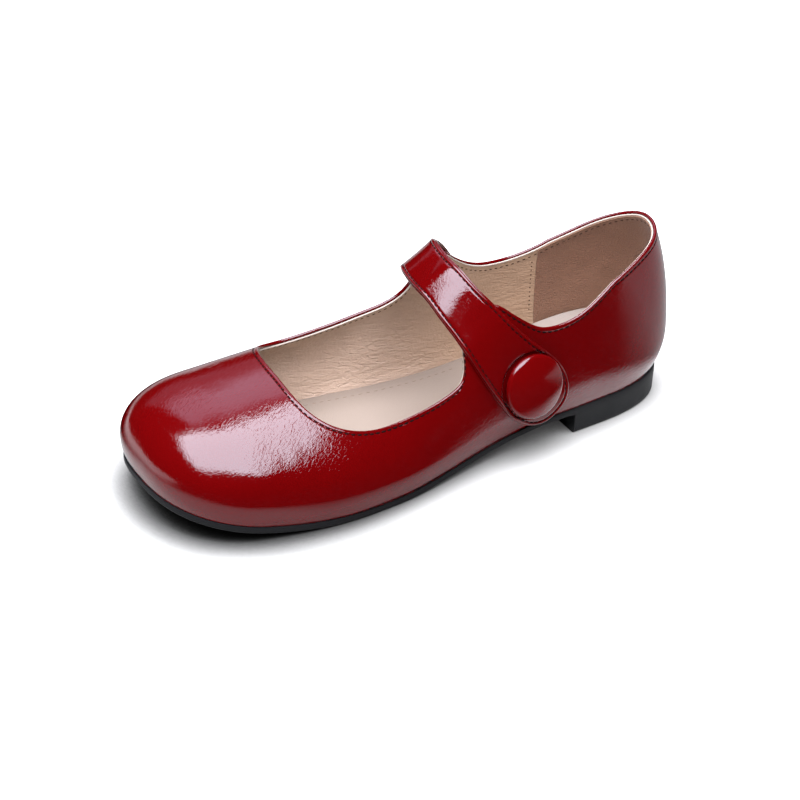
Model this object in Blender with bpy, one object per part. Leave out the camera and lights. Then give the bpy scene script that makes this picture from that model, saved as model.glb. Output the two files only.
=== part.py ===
"""A left mary jane shoe: leather upper on a rounded last, strap with a covered button, insole, outsole and heel.

Metres, +Z up. The toe points to -X, the outer side with the button lies to -Y, and the sole stands on Z = 0.
"""
import bmesh
import bpy
import numpy as np

MM = 0.001

# The last: its main sizes
LENGTH = 245 * MM
BALL_WIDTH = 92.6 * MM
HEEL_WIDTH = 61 * MM
HEEL_LIFT = 9.6 * MM
TOE_SPRING = 9.8 * MM
GIRTH_HEIGHT = 12 * MM
FEATHER_TUCK = 3 * MM
INSTEP_RISE = 60 * MM
TOE_RISE = 28 * MM
INSTEP_LEAN = 6 * MM
SWING = 4.6 * MM
TOE_CAP = 37 * MM
TOE_EXPONENT = 2.6
HEEL_CAP = 40 * MM
HEEL_EXPONENT = 2.05
BALL_STARTS = 0.28
BALL_FULL = 0.60

# The upper
WALL = 1.8 * MM
LASTING_MARGIN = 12 * MM
COLUMNS = 116
WALL_ROWS = 8
TUCK_ROWS = 3

# The sole pieces
GAP = 0.3 * MM
OUTSOLE = 3.2 * MM
OUTSOLE_LEDGE = 0.5 * MM
OUTSOLE_ROLL = 1.1 * MM
HEEL_BREAST = 58 * MM
HEEL_TAPER = 0.9 * MM
INSOLE = 2.0 * MM
INSOLE_FLARE_SHARE = 0.25
PLATE_STATIONS = 40
END_CROWDING_SHARE = 0.75
PLATE_ACROSS = 6
# Each ring of a plate's edge, top ring first. Insets are shares of OUTSOLE_ROLL and HEEL_TAPER,
# heights are shares of the plate's thickness there.
RING_COLUMNS = ("inset", "height")
OUTSOLE_RINGS = ((0.2, 1.0), (0.0, 0.85), (0.1, 0.3), (1.0, 0.0))
HEEL_RINGS = ((0.0, 1.0), (0.5, 0.35), (0.9, 0.08), (1.5, 0.0))
HEEL_INSET = 0.33 * MM

# The strap and its button
STRAP = 2.2 * MM
STRAP_WIDTH = 19.6 * MM
STRAP_END_WIDTH = 31.2 * MM
STRAP_END_REACH = 21.8 * MM
STRAP_END_EXPONENT = 2.3
FLARE_FROM = -10 * MM
FLARE_TO = 56 * MM
STRAP_ARCH = 3 * MM
ARCH_FROM = 36 * MM
ARCH_FULL = 0.55
ARCH_ENDS = 0.72
STRAP_CORNER = 4 * MM
STRAP_STATIONS = 40
ROUND_END_STEPS = 8
BLUNT_END_STEPS = 3
STRAP_ACROSS = 8
BUTTON_RADIUS = 13.8 * MM
BUTTON_RIM = 2.6 * MM
BUTTON_DOME = 2.6 * MM
BUTTON_TILT = 5
BUTTON_SIDES = 32
# The button's rings: those under it and over it as shares of its radius, and its rim
# as shares of BUTTON_RADIUS outward and of BUTTON_RIM upward.
BUTTON_UNDER = (0.3, 0.6, 0.86, 0.96)
RIM_COLUMNS = ("outward", "upward")
BUTTON_RIM_RINGS = ((1.0, -0.45), (1.0, -0.1), (0.985, 0.22), (0.93, 0.5))
BUTTON_OVER = (0.8, 0.6, 0.4, 0.2)

# Leather and sole colours
RED = (0.20, 0.005, 0.01)
BLACK = (0.018, 0.018, 0.02)
BEIGE = (0.72, 0.55, 0.44)

# How finely curves are read and where doubled points are merged
PLAN_STEP = 0.002
PLAN_SAMPLES = 201
TOPLINE_SAMPLES = 700
STRAP_SAMPLES = 400
LIFT_PACE = 0.6
SLOPE_STEP = 0.05 * MM
HALVINGS = 40
MERGE_WITHIN = 0.001 * MM
SHARP_ANGLE = 35

# Sections along the last, from the heel's back to the toe's tip. at is a share of LENGTH.
# side is a share of the half width, centre of SWING, lift of HEEL_LIFT, spring of TOE_SPRING,
# girth of GIRTH_HEIGHT, tuck of FEATHER_TUCK, instep of INSTEP_RISE, toe of TOE_RISE,
# lean of INSTEP_LEAN. full is the exponent of the section's curve.
SECTION_COLUMNS = ("at", "side", "centre", "lift", "spring", "girth", "tuck", "instep", "toe", "lean", "full")
SECTIONS = (
    (0.00, 0.98, 0.10, 1.12, 0.00, 1.37, 1.50, 1.28, 0.00, 0.08, 2.40),
    (0.12, 0.93, 0.04, 0.99, 0.00, 1.25, 1.02, 1.28, 0.00, 0.25, 2.40),
    (0.26, 1.03, 0.00, 0.92, 0.00, 1.10, 0.97, 1.33, 0.00, 0.46, 2.65),
    (0.40, 0.93, -0.28, 0.52, 0.00, 1.00, 1.07, 0.98, 0.00, 0.70, 2.85),
    (0.55, 0.91, -0.43, 0.07, 0.01, 0.93, 1.10, 0.50, 0.36, 1.00, 2.70),
    (0.70, 1.00, -0.35, -0.03, 0.01, 0.93, 1.00, 0.28, 0.60, 0.96, 2.50),
    (0.85, 0.975, 0.26, 0.00, 0.28, 0.86, 0.73, 0.07, 0.85, 0.56, 2.40),
    (1.00, 0.877, 1.00, 0.00, 1.00, 0.67, 0.57, 0.00, 0.73, 0.07, 2.35),
)

# The top edge of each side, from the heel's back to the throat. at is a share of LENGTH,
# lift is the height in degrees (0 at the widest line, 90 on the ridge), foot is the share
# of LENGTH where the same wall column meets the sole.
TOPLINE_COLUMNS = ("at", "lift", "foot")
OUTER_TOPLINE = (
    (0.000, 39.5, 0.000),
    (0.060, 38.1, 0.060),
    (0.120, 35.0, 0.120),
    (0.180, 28.1, 0.180),
    (0.236, 22.9, 0.236),
    (0.280, 22.8, 0.280),
    (0.314, 25.9, 0.314),
    (0.343, 32.9, 0.342),
    (0.372, 43.8, 0.368),
    (0.386, 50.0, 0.381),
    (0.406, 56.5, 0.400),
    (0.424, 61.5, 0.418),
    (0.440, 62.5, 0.433),
    (0.454, 57.5, 0.447),
    (0.460, 47.0, 0.461),
    (0.4625, 38.0, 0.475),
    (0.470, 32.6, 0.490),
    (0.495, 30.6, 0.516),
    (0.540, 31.9, 0.562),
    (0.590, 33.7, 0.616),
    (0.645, 35.5, 0.690),
    (0.688, 40.2, 0.772),
    (0.722, 48.6, 0.850),
    (0.743, 60.0, 0.905),
    (0.751, 75.0, 0.955),
    (0.749, 90.0, 1.000),
)
INNER_TOPLINE = (
    (0.000, 39.5, 0.000),
    (0.060, 36.3, 0.060),
    (0.110, 32.0, 0.110),
    (0.160, 26.1, 0.160),
    (0.210, 22.5, 0.210),
    (0.258, 22.4, 0.258),
    (0.298, 25.6, 0.298),
    (0.330, 31.6, 0.328),
    (0.357, 40.5, 0.352),
    (0.380, 51.0, 0.374),
    (0.400, 56.5, 0.394),
    (0.420, 55.5, 0.415),
    (0.436, 49.6, 0.434),
    (0.447, 43.6, 0.452),
    (0.466, 41.2, 0.476),
    (0.520, 44.3, 0.535),
    (0.580, 47.2, 0.605),
    (0.640, 48.7, 0.690),
    (0.690, 50.2, 0.780),
    (0.714, 56.0, 0.860),
    (0.734, 68.0, 0.935),
    (0.749, 90.0, 1.000),
)

# The strap's middle line over the last. lift runs from 0 at the outer widest line
# over 90 on the ridge to 180 at the inner one.
STRAP_COLUMNS = ("at", "lift")
STRAP_LINE = (
    (0.314, 0.5),
    (0.344, 8.7),
    (0.4035, 32.6),
    (0.429, 52.5),
    (0.441, 67.0),
    (0.444, 82.0),
    (0.438, 100.0),
    (0.422, 118.0),
    (0.398, 135.0),
    (0.378, 148.0),
    (0.366, 158.0),
)
BUTTON_AT = 1


def spline(stations, values, at):
    """A natural cubic spline through the values, read at the given stations."""
    stations, values, at = (np.asarray(a, float) for a in (stations, values, at))
    count = len(stations)
    step = np.diff(stations)
    matrix = np.eye(count)
    right = np.zeros(count)
    for i in range(1, count - 1):
        matrix[i, i - 1 : i + 2] = step[i - 1], 2 * (step[i - 1] + step[i]), step[i]
        right[i] = 6 * ((values[i + 1] - values[i]) / step[i] - (values[i] - values[i - 1]) / step[i - 1])
    bend = np.linalg.solve(matrix, right)
    i = np.clip(np.searchsorted(stations, at) - 1, 0, count - 2)
    a = (stations[i + 1] - at) / step[i]
    b = 1 - a
    curve = (a**3 - a) * bend[i] + (b**3 - b) * bend[i + 1]
    return a * values[i] + b * values[i + 1] + curve * step[i] ** 2 / 6


def smooth(low, high, at):
    t = np.clip((at - low) / (high - low), 0, 1)
    return t * t * (3 - 2 * t)


def column(table, columns, name):
    """A named column of a table of rows."""
    return np.array(table)[:, columns.index(name)]


def section(name, along):
    """One column of SECTIONS, read along the last."""
    at = column(SECTIONS, SECTION_COLUMNS, "at")
    return spline(at * LENGTH, column(SECTIONS, SECTION_COLUMNS, name), along)


def half_width(along):
    ball_share = smooth(BALL_STARTS, BALL_FULL, along / LENGTH)
    width = HEEL_WIDTH + (BALL_WIDTH - HEEL_WIDTH) * ball_share
    return section("side", along) * width / 2


def centre_line(along):
    return section("centre", along) * SWING


def bed(along):
    """The height of the upper's underside, the feather line."""
    stack = OUTSOLE + GAP
    return stack + section("lift", along) * HEEL_LIFT + section("spring", along) * TOE_SPRING


def girth(along):
    return section("girth", along) * GIRTH_HEIGHT


def rise(along):
    return section("instep", along) * INSTEP_RISE + section("toe", along) * TOE_RISE


def plan_cap(along):
    """How far a station lies into a round end, as a share, and that end's exponent."""
    into_toe = np.clip((along - (LENGTH - TOE_CAP)) / TOE_CAP, 0, 1)
    into_heel = np.clip((HEEL_CAP - along) / HEEL_CAP, 0, 1)
    toe_half = along > LENGTH / 2
    return np.where(toe_half, into_toe, into_heel), np.where(toe_half, TOE_EXPONENT, HEEL_EXPONENT)


def last_top(along, across):
    """Points of the last above its widest line. across is a share of the half width."""
    into, power = plan_cap(along)
    share = np.clip((np.abs(across) ** power + into**power) ** (1 / power), 0, 1)
    height = np.sqrt(1 - share ** section("full", along))
    y = centre_line(along) + across * half_width(along) + section("lean", along) * INSTEP_LEAN * height
    z = bed(along) + girth(along) + rise(along) * height
    return np.stack([along, y, z], -1)


def plan_point(at, inward, side):
    """A place on the plan: at along the edge, which turns round the ends, and inward from 1 at the edge to 0."""
    along = np.asarray(at, float) * LENGTH
    heel_turn = np.clip((HEEL_CAP - along) / HEEL_CAP, 0, 1) * np.pi / 2
    toe_turn = np.clip((along - (LENGTH - TOE_CAP)) / TOE_CAP, 0, 1) * np.pi / 2
    turn = heel_turn + toe_turn
    power = np.where(toe_turn > 0, TOE_EXPONENT, HEEL_EXPONENT)
    into = np.sin(turn) ** (2 / power)
    across = np.clip(np.cos(turn), 0, 1) ** (2 / power)
    middle = np.clip(along, HEEL_CAP, LENGTH - TOE_CAP)
    reach = np.where(toe_turn > 0, TOE_CAP, -HEEL_CAP) * into
    return middle + reach * inward, side * across * inward


def lifted(at, lift, side):
    """The plan place of a point of the last at the given lift in degrees."""
    edge = plan_point(at, 1.0, side)[0]
    inward = np.clip(np.cos(np.radians(lift)), 0, 1) ** (2 / section("full", edge))
    return plan_point(at, inward, side)


def on_last(at, lift):
    """A point of the last, where lift runs from 0 at the outer side over 90 to 180 at the inner side."""
    side = np.where(lift <= 90, -1.0, 1.0)
    along, across = lifted(at, np.minimum(lift, 180 - lift), side)
    return last_top(along, across)


def edge_loop(at, side):
    along, across = plan_point(at, 1.0, side)
    return np.stack([along, centre_line(along) + across * half_width(along)], -1)


def inset_loop(at, side, inset):
    """The widest line seen from above, moved inward by inset."""
    here = edge_loop(at, side)
    turn = np.where(at > 0.5, -1, 1)
    other = edge_loop(at + turn * PLAN_STEP, side)
    tangent = (other - here) * turn[:, None]
    tangent /= np.linalg.norm(tangent, axis=1)[:, None]
    inward = np.stack([tangent[:, 1], -tangent[:, 0]], -1) * side[:, None]
    tips = (at <= 0) | (at >= 1)
    inward[tips] = np.stack([np.where(at > 0.5, -1.0, 1.0), np.zeros(len(at))], -1)[tips]
    return here + inward * np.asarray(inset)[:, None]


def halves(count, start=0.0, end=1.0):
    """Stations from start to end, closer together round the toe and heel."""
    t = np.linspace(0, 1, count)
    return start + (end - start) * (t - END_CROWDING_SHARE * np.sin(2 * np.pi * t) / (2 * np.pi))


def world(points):
    """From heel-to-toe coordinates to the shoe's frame, with its box centred on the origin."""
    ends = np.linspace(0, 1, PLAN_SAMPLES)
    outer = edge_loop(ends, -np.ones(PLAN_SAMPLES))[:, 1].min()
    inner = edge_loop(ends, np.ones(PLAN_SAMPLES))[:, 1].max()
    points = np.asarray(points, float)
    return np.stack([LENGTH / 2 - points[..., 0], points[..., 1] - (outer + inner) / 2, points[..., 2]], -1)


def outward(points, at_middle):
    """Unit normals of a closed net of points, rows first, turned away from the middle."""
    along = np.roll(points, -1, 1) - np.roll(points, 1, 1)
    down = np.gradient(points, axis=0)
    normal = np.cross(along, down)
    normal /= np.linalg.norm(normal, axis=-1)[..., None] + 1e-12
    turned = np.sign(((points - at_middle) * normal).sum(-1))
    return normal * turned[..., None]


def material(name, colour, roughness, coat=0.0):
    made = bpy.data.materials.new(name)
    made.use_nodes = True
    shader = made.node_tree.nodes["Principled BSDF"]
    shader.inputs["Base Color"].default_value = (*colour, 1)
    shader.inputs["Roughness"].default_value = roughness
    shader.inputs["Coat Weight"].default_value = coat
    return made


def solid(name, points, faces, made):
    """An object from points and faces, with double points merged and faces turned out."""
    mesh = bpy.data.meshes.new(name)
    mesh.from_pydata([tuple(p) for p in world(points)], [], faces)
    net = bmesh.new()
    net.from_mesh(mesh)
    bmesh.ops.remove_doubles(net, verts=net.verts, dist=MERGE_WITHIN)
    bmesh.ops.dissolve_degenerate(net, edges=net.edges, dist=MERGE_WITHIN / 10)
    bmesh.ops.recalc_face_normals(net, faces=net.faces)
    net.to_mesh(mesh)
    net.free()
    mesh.shade_smooth()
    mesh.set_sharp_from_angle(angle=np.radians(SHARP_ANGLE))
    mesh.materials.append(made)
    item = bpy.data.objects.new(name, mesh)
    bpy.context.collection.objects.link(item)
    return item


def net_faces(rows, columns, offset=0, close=False):
    """Quads of a net of rows by columns. A closed net joins its last column to its first."""
    faces = []
    for r in range(rows - 1):
        for c in range(columns if close else columns - 1):
            n = (c + 1) % columns
            low = offset + r * columns
            high = low + columns
            faces.append((low + c, low + n, high + n, high + c))
    return faces


def topline_side(rows, opposite):
    """A side's top edge as smooth curves of at, lift and foot, which run on into the other side."""
    own_at, own_lift, own_foot = (column(rows, TOPLINE_COLUMNS, name) for name in TOPLINE_COLUMNS)
    far_at, far_lift = (column(opposite, TOPLINE_COLUMNS, name) for name in ("at", "lift"))
    before = np.stack([-far_at, far_lift], -1)[2:0:-1]
    after = np.stack([far_at, 180 - far_lift], -1)[-2:-4:-1]
    points = np.concatenate([before, np.stack([own_at, own_lift], -1), after])
    step = np.diff(points, axis=0) * np.array([LENGTH, np.radians(1) * INSTEP_RISE * LIFT_PACE])
    reach = np.concatenate([[0], np.cumsum(np.linalg.norm(step, axis=1))])
    own = reach[2:-2]
    dense = np.linspace(own[0], own[-1], TOPLINE_SAMPLES)
    at = np.clip(spline(reach, points[:, 0], dense), 0, 1)
    lift = np.clip(spline(reach, points[:, 1], dense), 0, 90)
    foot = np.interp(dense, own, own_foot)
    return at, lift, foot


def wall_columns():
    """For each column of the wall: the station and side of its foot, and its top edge on the plan."""
    outer = topline_side(OUTER_TOPLINE, INNER_TOPLINE)
    inner = topline_side(INNER_TOPLINE, OUTER_TOPLINE)
    at, lift, foot = (np.concatenate([a, b[-2:0:-1]]) for a, b in zip(outer, inner))
    side = np.concatenate([-np.ones(len(outer[0])), np.ones(len(inner[0]) - 2)])
    top = np.stack(lifted(at, lift, side), -1)
    path = np.concatenate([last_top(top[:, 0], top[:, 1]), edge_loop(foot, side)], -1)
    step = np.linalg.norm(np.diff(path, axis=0, append=path[:1]), axis=1)
    reach = np.concatenate([[0], np.cumsum(step)])
    pick = np.searchsorted(reach, np.linspace(0, reach[-1], COLUMNS + 1)[:-1])
    pick = np.minimum(pick, len(at) - 1)
    toe = int(np.argmax(foot))
    pick[np.argmin(np.abs(pick - toe))] = toe
    return foot[pick], side[pick], top[pick]


def build_upper():
    """The leather shell, with its lasting margin turned in under the foot."""
    foot, side, top = wall_columns()
    start = np.stack(plan_point(foot, 1.0, side), -1)
    outer = []
    for v in np.linspace(1, 0, WALL_ROWS):
        place = start + (top - start) * v**2
        outer.append(last_top(place[:, 0], place[:, 1]))
    along = start[:, 0]
    tuck = section("tuck", along) * FEATHER_TUCK
    for depth in np.linspace(0, 1, TUCK_ROWS + 1)[1:]:
        loop = inset_loop(foot, side, tuck * depth**2)
        outer.append(np.column_stack([loop, bed(loop[:, 0]) + girth(loop[:, 0]) * (1 - depth)]))
    outer = np.array(outer)
    middle = np.stack([along, centre_line(along), bed(along) + girth(along)], -1)
    middle[:, 0] = np.clip(along, HEEL_CAP, LENGTH - TOE_CAP)
    inner = outer - outward(outer, middle) * WALL
    corner = inset_loop(foot, side, tuck + WALL)
    inner[-1] = np.column_stack([corner, bed(corner[:, 0]) + WALL])
    margin = inset_loop(foot, side, tuck + LASTING_MARGIN)
    under = np.column_stack([margin, bed(margin[:, 0])])
    over = np.column_stack([margin, bed(margin[:, 0]) + WALL])
    ring = np.concatenate([outer, under[None], over[None], inner[::-1], outer[:1]])
    count = len(ring) - 1
    faces = net_faces(count, COLUMNS, close=True)
    inmost = (count - 1) * COLUMNS
    for c in range(COLUMNS):
        n = (c + 1) % COLUMNS
        faces.append((inmost + c, inmost + n, n, c))
    leather = material("red leather", RED, 0.2, 1.0)
    return solid("upper", ring[:-1].reshape(-1, 3), faces, leather)


def plate(name, stations, rings, made):
    """A plate between its edges on both sides. Each ring is an inset and a height function, top ring first."""
    count = len(stations)
    share = np.linspace(0, 1, PLATE_ACROSS + 1)[None, :, None]
    layers = []
    for inset, height in rings:
        outer = inset_loop(stations, -np.ones(count), inset)
        inner = inset_loop(stations, np.ones(count), inset)
        across = outer[:, None] * (1 - share) + inner[:, None] * share
        z = height(across[..., 0])
        layers.append(np.concatenate([across, z[..., None]], -1))
    wide = PLATE_ACROSS + 1
    points = []
    faces = []
    for layer in (layers[0], layers[-1]):
        faces += net_faces(count, wide, offset=len(points))
        points += list(layer.reshape(-1, 3))
    rims = []
    for layer in layers:
        rims.append(np.concatenate([layer[:, 0], layer[-1, 1:], layer[-2::-1, -1], layer[0, -2:0:-1]]))
    faces += net_faces(len(rims), len(rims[0]), offset=len(points), close=True)
    points += list(np.concatenate(rims))
    return solid(name, points, faces, made)


def outsole_underside(along):
    return np.maximum(bed(along) - GAP - OUTSOLE, 0)


def edge_rings(table, edge, roll, low, high):
    """The rings of a plate between two height functions, with their insets as shares of roll."""

    def ring(inset, height):
        return edge + roll * inset, lambda x: low(x) + (high(x) - low(x)) * height

    insets, heights = (column(table, RING_COLUMNS, name) for name in RING_COLUMNS)
    return [ring(inset, height) for inset, height in zip(insets, heights)]


def build_outsole():
    stations = halves(PLATE_STATIONS)
    along = edge_loop(stations, np.ones(len(stations)))[:, 0]
    edge = section("tuck", along) * FEATHER_TUCK - OUTSOLE_LEDGE
    rings = edge_rings(OUTSOLE_RINGS, edge, OUTSOLE_ROLL, outsole_underside, lambda x: bed(x) - GAP)
    return plate("outsole", stations, rings, material("black rubber", BLACK, 0.55))


def build_heel():
    """A low block under the outsole, flat on the ground and straight across its front."""
    stations = halves(PLATE_STATIONS // 2, 0.0, HEEL_BREAST / LENGTH)
    along = edge_loop(stations, np.ones(len(stations)))[:, 0]
    edge = section("tuck", along) * FEATHER_TUCK - OUTSOLE_LEDGE + HEEL_INSET
    rings = edge_rings(HEEL_RINGS, edge, HEEL_TAPER, np.zeros_like, lambda x: outsole_underside(x) - GAP)
    return plate("heel", stations, rings, material("black heel", BLACK, 0.5))


def build_insole():
    """The sock board on the lasting margin, with a filler under it that fills the margin's opening."""
    stations = halves(PLATE_STATIONS)
    along = edge_loop(stations, np.ones(len(stations)))[:, 0]
    tuck = section("tuck", along) * FEATHER_TUCK
    edge = tuck + WALL + GAP
    filler = tuck + LASTING_MARGIN + 2 * GAP
    seat = WALL + GAP
    rings = (
        (edge - tuck * INSOLE_FLARE_SHARE, lambda x: bed(x) + seat + INSOLE),
        (edge, lambda x: bed(x) + seat),
        (filler, lambda x: bed(x) + seat),
        (filler, lambda x: bed(x)),
    )
    return plate("insole", stations, rings, material("beige lining", BEIGE, 0.6))


def above_last(points, offset):
    """Points moved in their own cross section onto the last, then out from it by offset."""

    def outside(p):
        along = p[..., 0]
        height = np.clip((p[..., 2] - bed(along) - girth(along)) / rise(along), 0, None)
        lean = section("lean", along) * INSTEP_LEAN * np.minimum(height, 1)
        across = (p[..., 1] - centre_line(along) - lean) / half_width(along)
        into, power = plan_cap(along)
        share = (np.abs(across) ** power + into**power) ** (1 / power)
        return share ** section("full", along) + height**2 - 1

    along = points[..., 0]
    axis = np.stack([along, centre_line(along) + section("lean", along) * INSTEP_LEAN * 0.5], -1)
    axis = np.concatenate([axis, (bed(along) + girth(along))[..., None]], -1)
    axis[..., 2] = np.minimum(axis[..., 2], points[..., 2])
    ray = points - axis
    low = np.zeros(points.shape[:-1])
    high = np.full(points.shape[:-1], 2.0)
    for _ in range(HALVINGS):
        mid = (low + high) / 2
        out = outside(axis + ray * mid[..., None]) > 0
        high = np.where(out, mid, high)
        low = np.where(out, low, mid)
    found = axis + ray * low[..., None]
    steps = np.eye(3) * SLOPE_STEP
    slope = [outside(found + step) - outside(found - step) for step in steps]
    normal = np.stack(slope, -1)
    normal /= np.linalg.norm(normal, axis=-1)[..., None]
    return found + normal * np.asarray(offset)[..., None], normal


def strap_frame():
    """The strap's middle line, its direction and its width direction, read by length from the button."""
    at, lift = (column(STRAP_LINE, STRAP_COLUMNS, name) for name in STRAP_COLUMNS)
    knots = on_last(at, lift)
    step = np.linalg.norm(np.diff(knots, axis=0), axis=1)
    reach = np.concatenate([[0], np.cumsum(step)])
    reach -= reach[BUTTON_AT]
    dense = np.linspace(reach[0] - STRAP_END_REACH, reach[-1], STRAP_SAMPLES)
    line = np.stack([spline(reach, knots[:, k], np.clip(dense, reach[0], None)) for k in range(3)], -1)
    first = (spline_slope(reach, knots, reach[0]))[None]
    line += np.minimum(dense - reach[0], 0)[:, None] * first
    direction = np.gradient(line, axis=0)
    direction /= np.linalg.norm(direction, axis=1)[:, None]
    normal = above_last(line, np.zeros(len(line)))[1]
    wide = np.cross(normal, direction)
    wide /= np.linalg.norm(wide, axis=1)[:, None]
    return dense, line, wide


def spline_slope(reach, knots, at):
    ahead = np.array([spline(reach, knots[:, k], at + SLOPE_STEP) for k in range(3)])
    here = np.array([spline(reach, knots[:, k], at) for k in range(3)])
    return (ahead - here) / SLOPE_STEP


def strap_half_width(reach, end):
    """Half the strap's width: a round end about the button, a flare, and a blunt inner end."""
    flare = STRAP_END_WIDTH + (STRAP_WIDTH - STRAP_END_WIDTH) * smooth(FLARE_FROM, FLARE_TO, reach)
    inside = np.clip(-reach / STRAP_END_REACH, 0, 1)
    width = flare / 2 * (1 - inside**STRAP_END_EXPONENT) ** (1 / STRAP_END_EXPONENT)
    into_end = np.clip((reach - (end - STRAP_CORNER)) / STRAP_CORNER, 0, 1)
    return width - STRAP_CORNER * (1 - np.sqrt(1 - into_end**2))


def strap_arch(reach, end):
    """How far the strap stands clear of the last between the two sides of the upper."""
    return STRAP_ARCH * smooth(ARCH_FROM, end * ARCH_FULL, reach) * smooth(end, end * ARCH_ENDS, reach)


def build_strap():
    dense, line, wide = strap_frame()
    turn = np.linspace(0, np.pi / 2, ROUND_END_STEPS + 1)[:-1]
    end = dense[-1]
    body = np.linspace(0, end - STRAP_CORNER, STRAP_STATIONS - ROUND_END_STEPS - BLUNT_END_STEPS)
    blunt = end - STRAP_CORNER + STRAP_CORNER * np.sin(np.linspace(0, np.pi / 2, BLUNT_END_STEPS + 1)[1:])
    reach = np.concatenate([-STRAP_END_REACH * np.cos(turn), body, blunt])
    middle = np.stack([np.interp(reach, dense, line[:, k]) for k in range(3)], -1)
    across = np.stack([np.interp(reach, dense, wide[:, k]) for k in range(3)], -1)
    half = strap_half_width(reach, end)
    share = np.linspace(-1, 1, STRAP_ACROSS + 1)
    flat = middle[:, None] + across[:, None] * (half[:, None] * share[None])[..., None]
    clear = GAP + strap_arch(reach, end)[:, None] * np.ones(STRAP_ACROSS + 1)
    low = above_last(flat, clear)[0]
    high = above_last(flat, clear + STRAP)[0]
    count = len(reach)
    wide_count = STRAP_ACROSS + 1
    faces = net_faces(count, wide_count) + net_faces(count, wide_count, offset=count * wide_count)
    rims = []
    for layer in (low, high):
        rims.append(np.concatenate([layer[:, 0], layer[-1, 1:], layer[-2::-1, -1], layer[0, -2:0:-1]]))
    start = 2 * count * wide_count
    faces += net_faces(2, len(rims[0]), offset=start, close=True)
    points = np.concatenate([low.reshape(-1, 3), high.reshape(-1, 3), rims[0], rims[1]])
    return solid("strap", points, faces, material("red strap leather", RED, 0.2, 1.0))


def build_button():
    """A leather covered dome whose underside lies along the strap."""
    dense, line, wide = strap_frame()
    centre = np.array([np.interp(0, dense, line[:, k]) for k in range(3)])
    across = np.array([np.interp(0, dense, wide[:, k]) for k in range(3)])
    seat = GAP + STRAP + GAP
    flat = above_last(centre[None], np.zeros(1))[1][0]
    lean = np.radians(BUTTON_TILT)
    upright = np.array([0, 0, 1.0]) - flat * flat[2]
    normal = flat * np.cos(lean) + upright / np.linalg.norm(upright) * np.sin(lean)
    across -= normal * (across @ normal)
    across /= np.linalg.norm(across)
    up = np.cross(across, normal)
    turns = np.linspace(0, 2 * np.pi, BUTTON_SIDES, endpoint=False)
    circle = across * np.cos(turns)[:, None] + up * np.sin(turns)[:, None]

    def ring(radius):
        return above_last(centre + circle * radius, np.full(BUTTON_SIDES, seat))[0]

    under = [ring(BUTTON_RADIUS * share) for share in BUTTON_UNDER]
    outward_by, upward_by = (column(BUTTON_RIM_RINGS, RIM_COLUMNS, name) for name in RIM_COLUMNS)
    highest = ((under[-1] - centre) @ normal).max()
    rim = centre + normal * (highest - BUTTON_RIM * upward_by[0])
    over = [rim + circle * BUTTON_RADIUS * r + normal * BUTTON_RIM * z for r, z in zip(outward_by, upward_by)]
    for share in BUTTON_OVER:
        lift = upward_by[-1] * BUTTON_RIM + BUTTON_DOME * (1 - (share / outward_by[-1]) ** 2)
        over.append(rim + circle * BUTTON_RADIUS * share + normal * lift)
    rings = under + over
    bottom = above_last(centre[None], np.array([seat]))[0]
    peak = rim + normal * (upward_by[-1] * BUTTON_RIM + BUTTON_DOME)
    points = np.concatenate(rings + [bottom, peak[None]])
    faces = net_faces(len(rings), BUTTON_SIDES, close=True)
    low = len(rings) * BUTTON_SIDES
    final = (len(rings) - 1) * BUTTON_SIDES
    for i in range(BUTTON_SIDES):
        n = (i + 1) % BUTTON_SIDES
        faces.append((low, n, i))
        faces.append((low + 1, final + i, final + n))
    return solid("button", points, faces, material("red button leather", RED, 0.15, 1.0))


def main():
    for item in list(bpy.data.objects):
        bpy.data.objects.remove(item)
    build_upper()
    build_outsole()
    build_heel()
    build_insole()
    build_strap()
    build_button()


main()
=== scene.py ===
import math

import bmesh
import bpy
import numpy as np
from mathutils import Matrix, Vector

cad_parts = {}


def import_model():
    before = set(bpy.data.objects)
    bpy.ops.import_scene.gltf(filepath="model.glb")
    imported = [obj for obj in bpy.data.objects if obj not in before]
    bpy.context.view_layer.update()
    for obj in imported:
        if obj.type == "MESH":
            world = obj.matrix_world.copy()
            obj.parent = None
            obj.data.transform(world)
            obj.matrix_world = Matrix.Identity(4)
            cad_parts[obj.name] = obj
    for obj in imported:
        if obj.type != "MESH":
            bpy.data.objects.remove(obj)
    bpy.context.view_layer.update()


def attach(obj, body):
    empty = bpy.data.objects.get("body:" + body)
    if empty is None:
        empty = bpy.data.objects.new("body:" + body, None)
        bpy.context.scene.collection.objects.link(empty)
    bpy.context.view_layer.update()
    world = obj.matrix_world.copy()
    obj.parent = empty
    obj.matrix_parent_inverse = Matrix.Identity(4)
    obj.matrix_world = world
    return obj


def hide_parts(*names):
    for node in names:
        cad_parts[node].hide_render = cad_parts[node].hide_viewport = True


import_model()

MM = 0.001
scene = bpy.context.scene

# The upper's leather: red patent leather pulled over a rounded last, with its margin turned in
# under the foot. Its top edge is folded over and stitched down all the way round, also on the
# two tabs under the strap. The surface is cut from the last's own sections.
LENGTH = 245 * MM
BALL_WIDTH = 92.6 * MM
HEEL_WIDTH = 61 * MM
HEEL_LIFT = 9.6 * MM
TOE_SPRING = 9.8 * MM
GIRTH_HEIGHT = 12 * MM
FEATHER_TUCK = 3 * MM
INSTEP_RISE = 60 * MM
TOE_RISE = 28 * MM
INSTEP_LEAN = 6 * MM
SWING = 4.6 * MM
TOE_CAP = 37 * MM
TOE_EXPONENT = 2.6
HEEL_CAP = 40 * MM
HEEL_EXPONENT = 2.05
LASTING_MARGIN = 12 * MM
GAP = 0.3 * MM
OUTSOLE = 3.2 * MM

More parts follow.
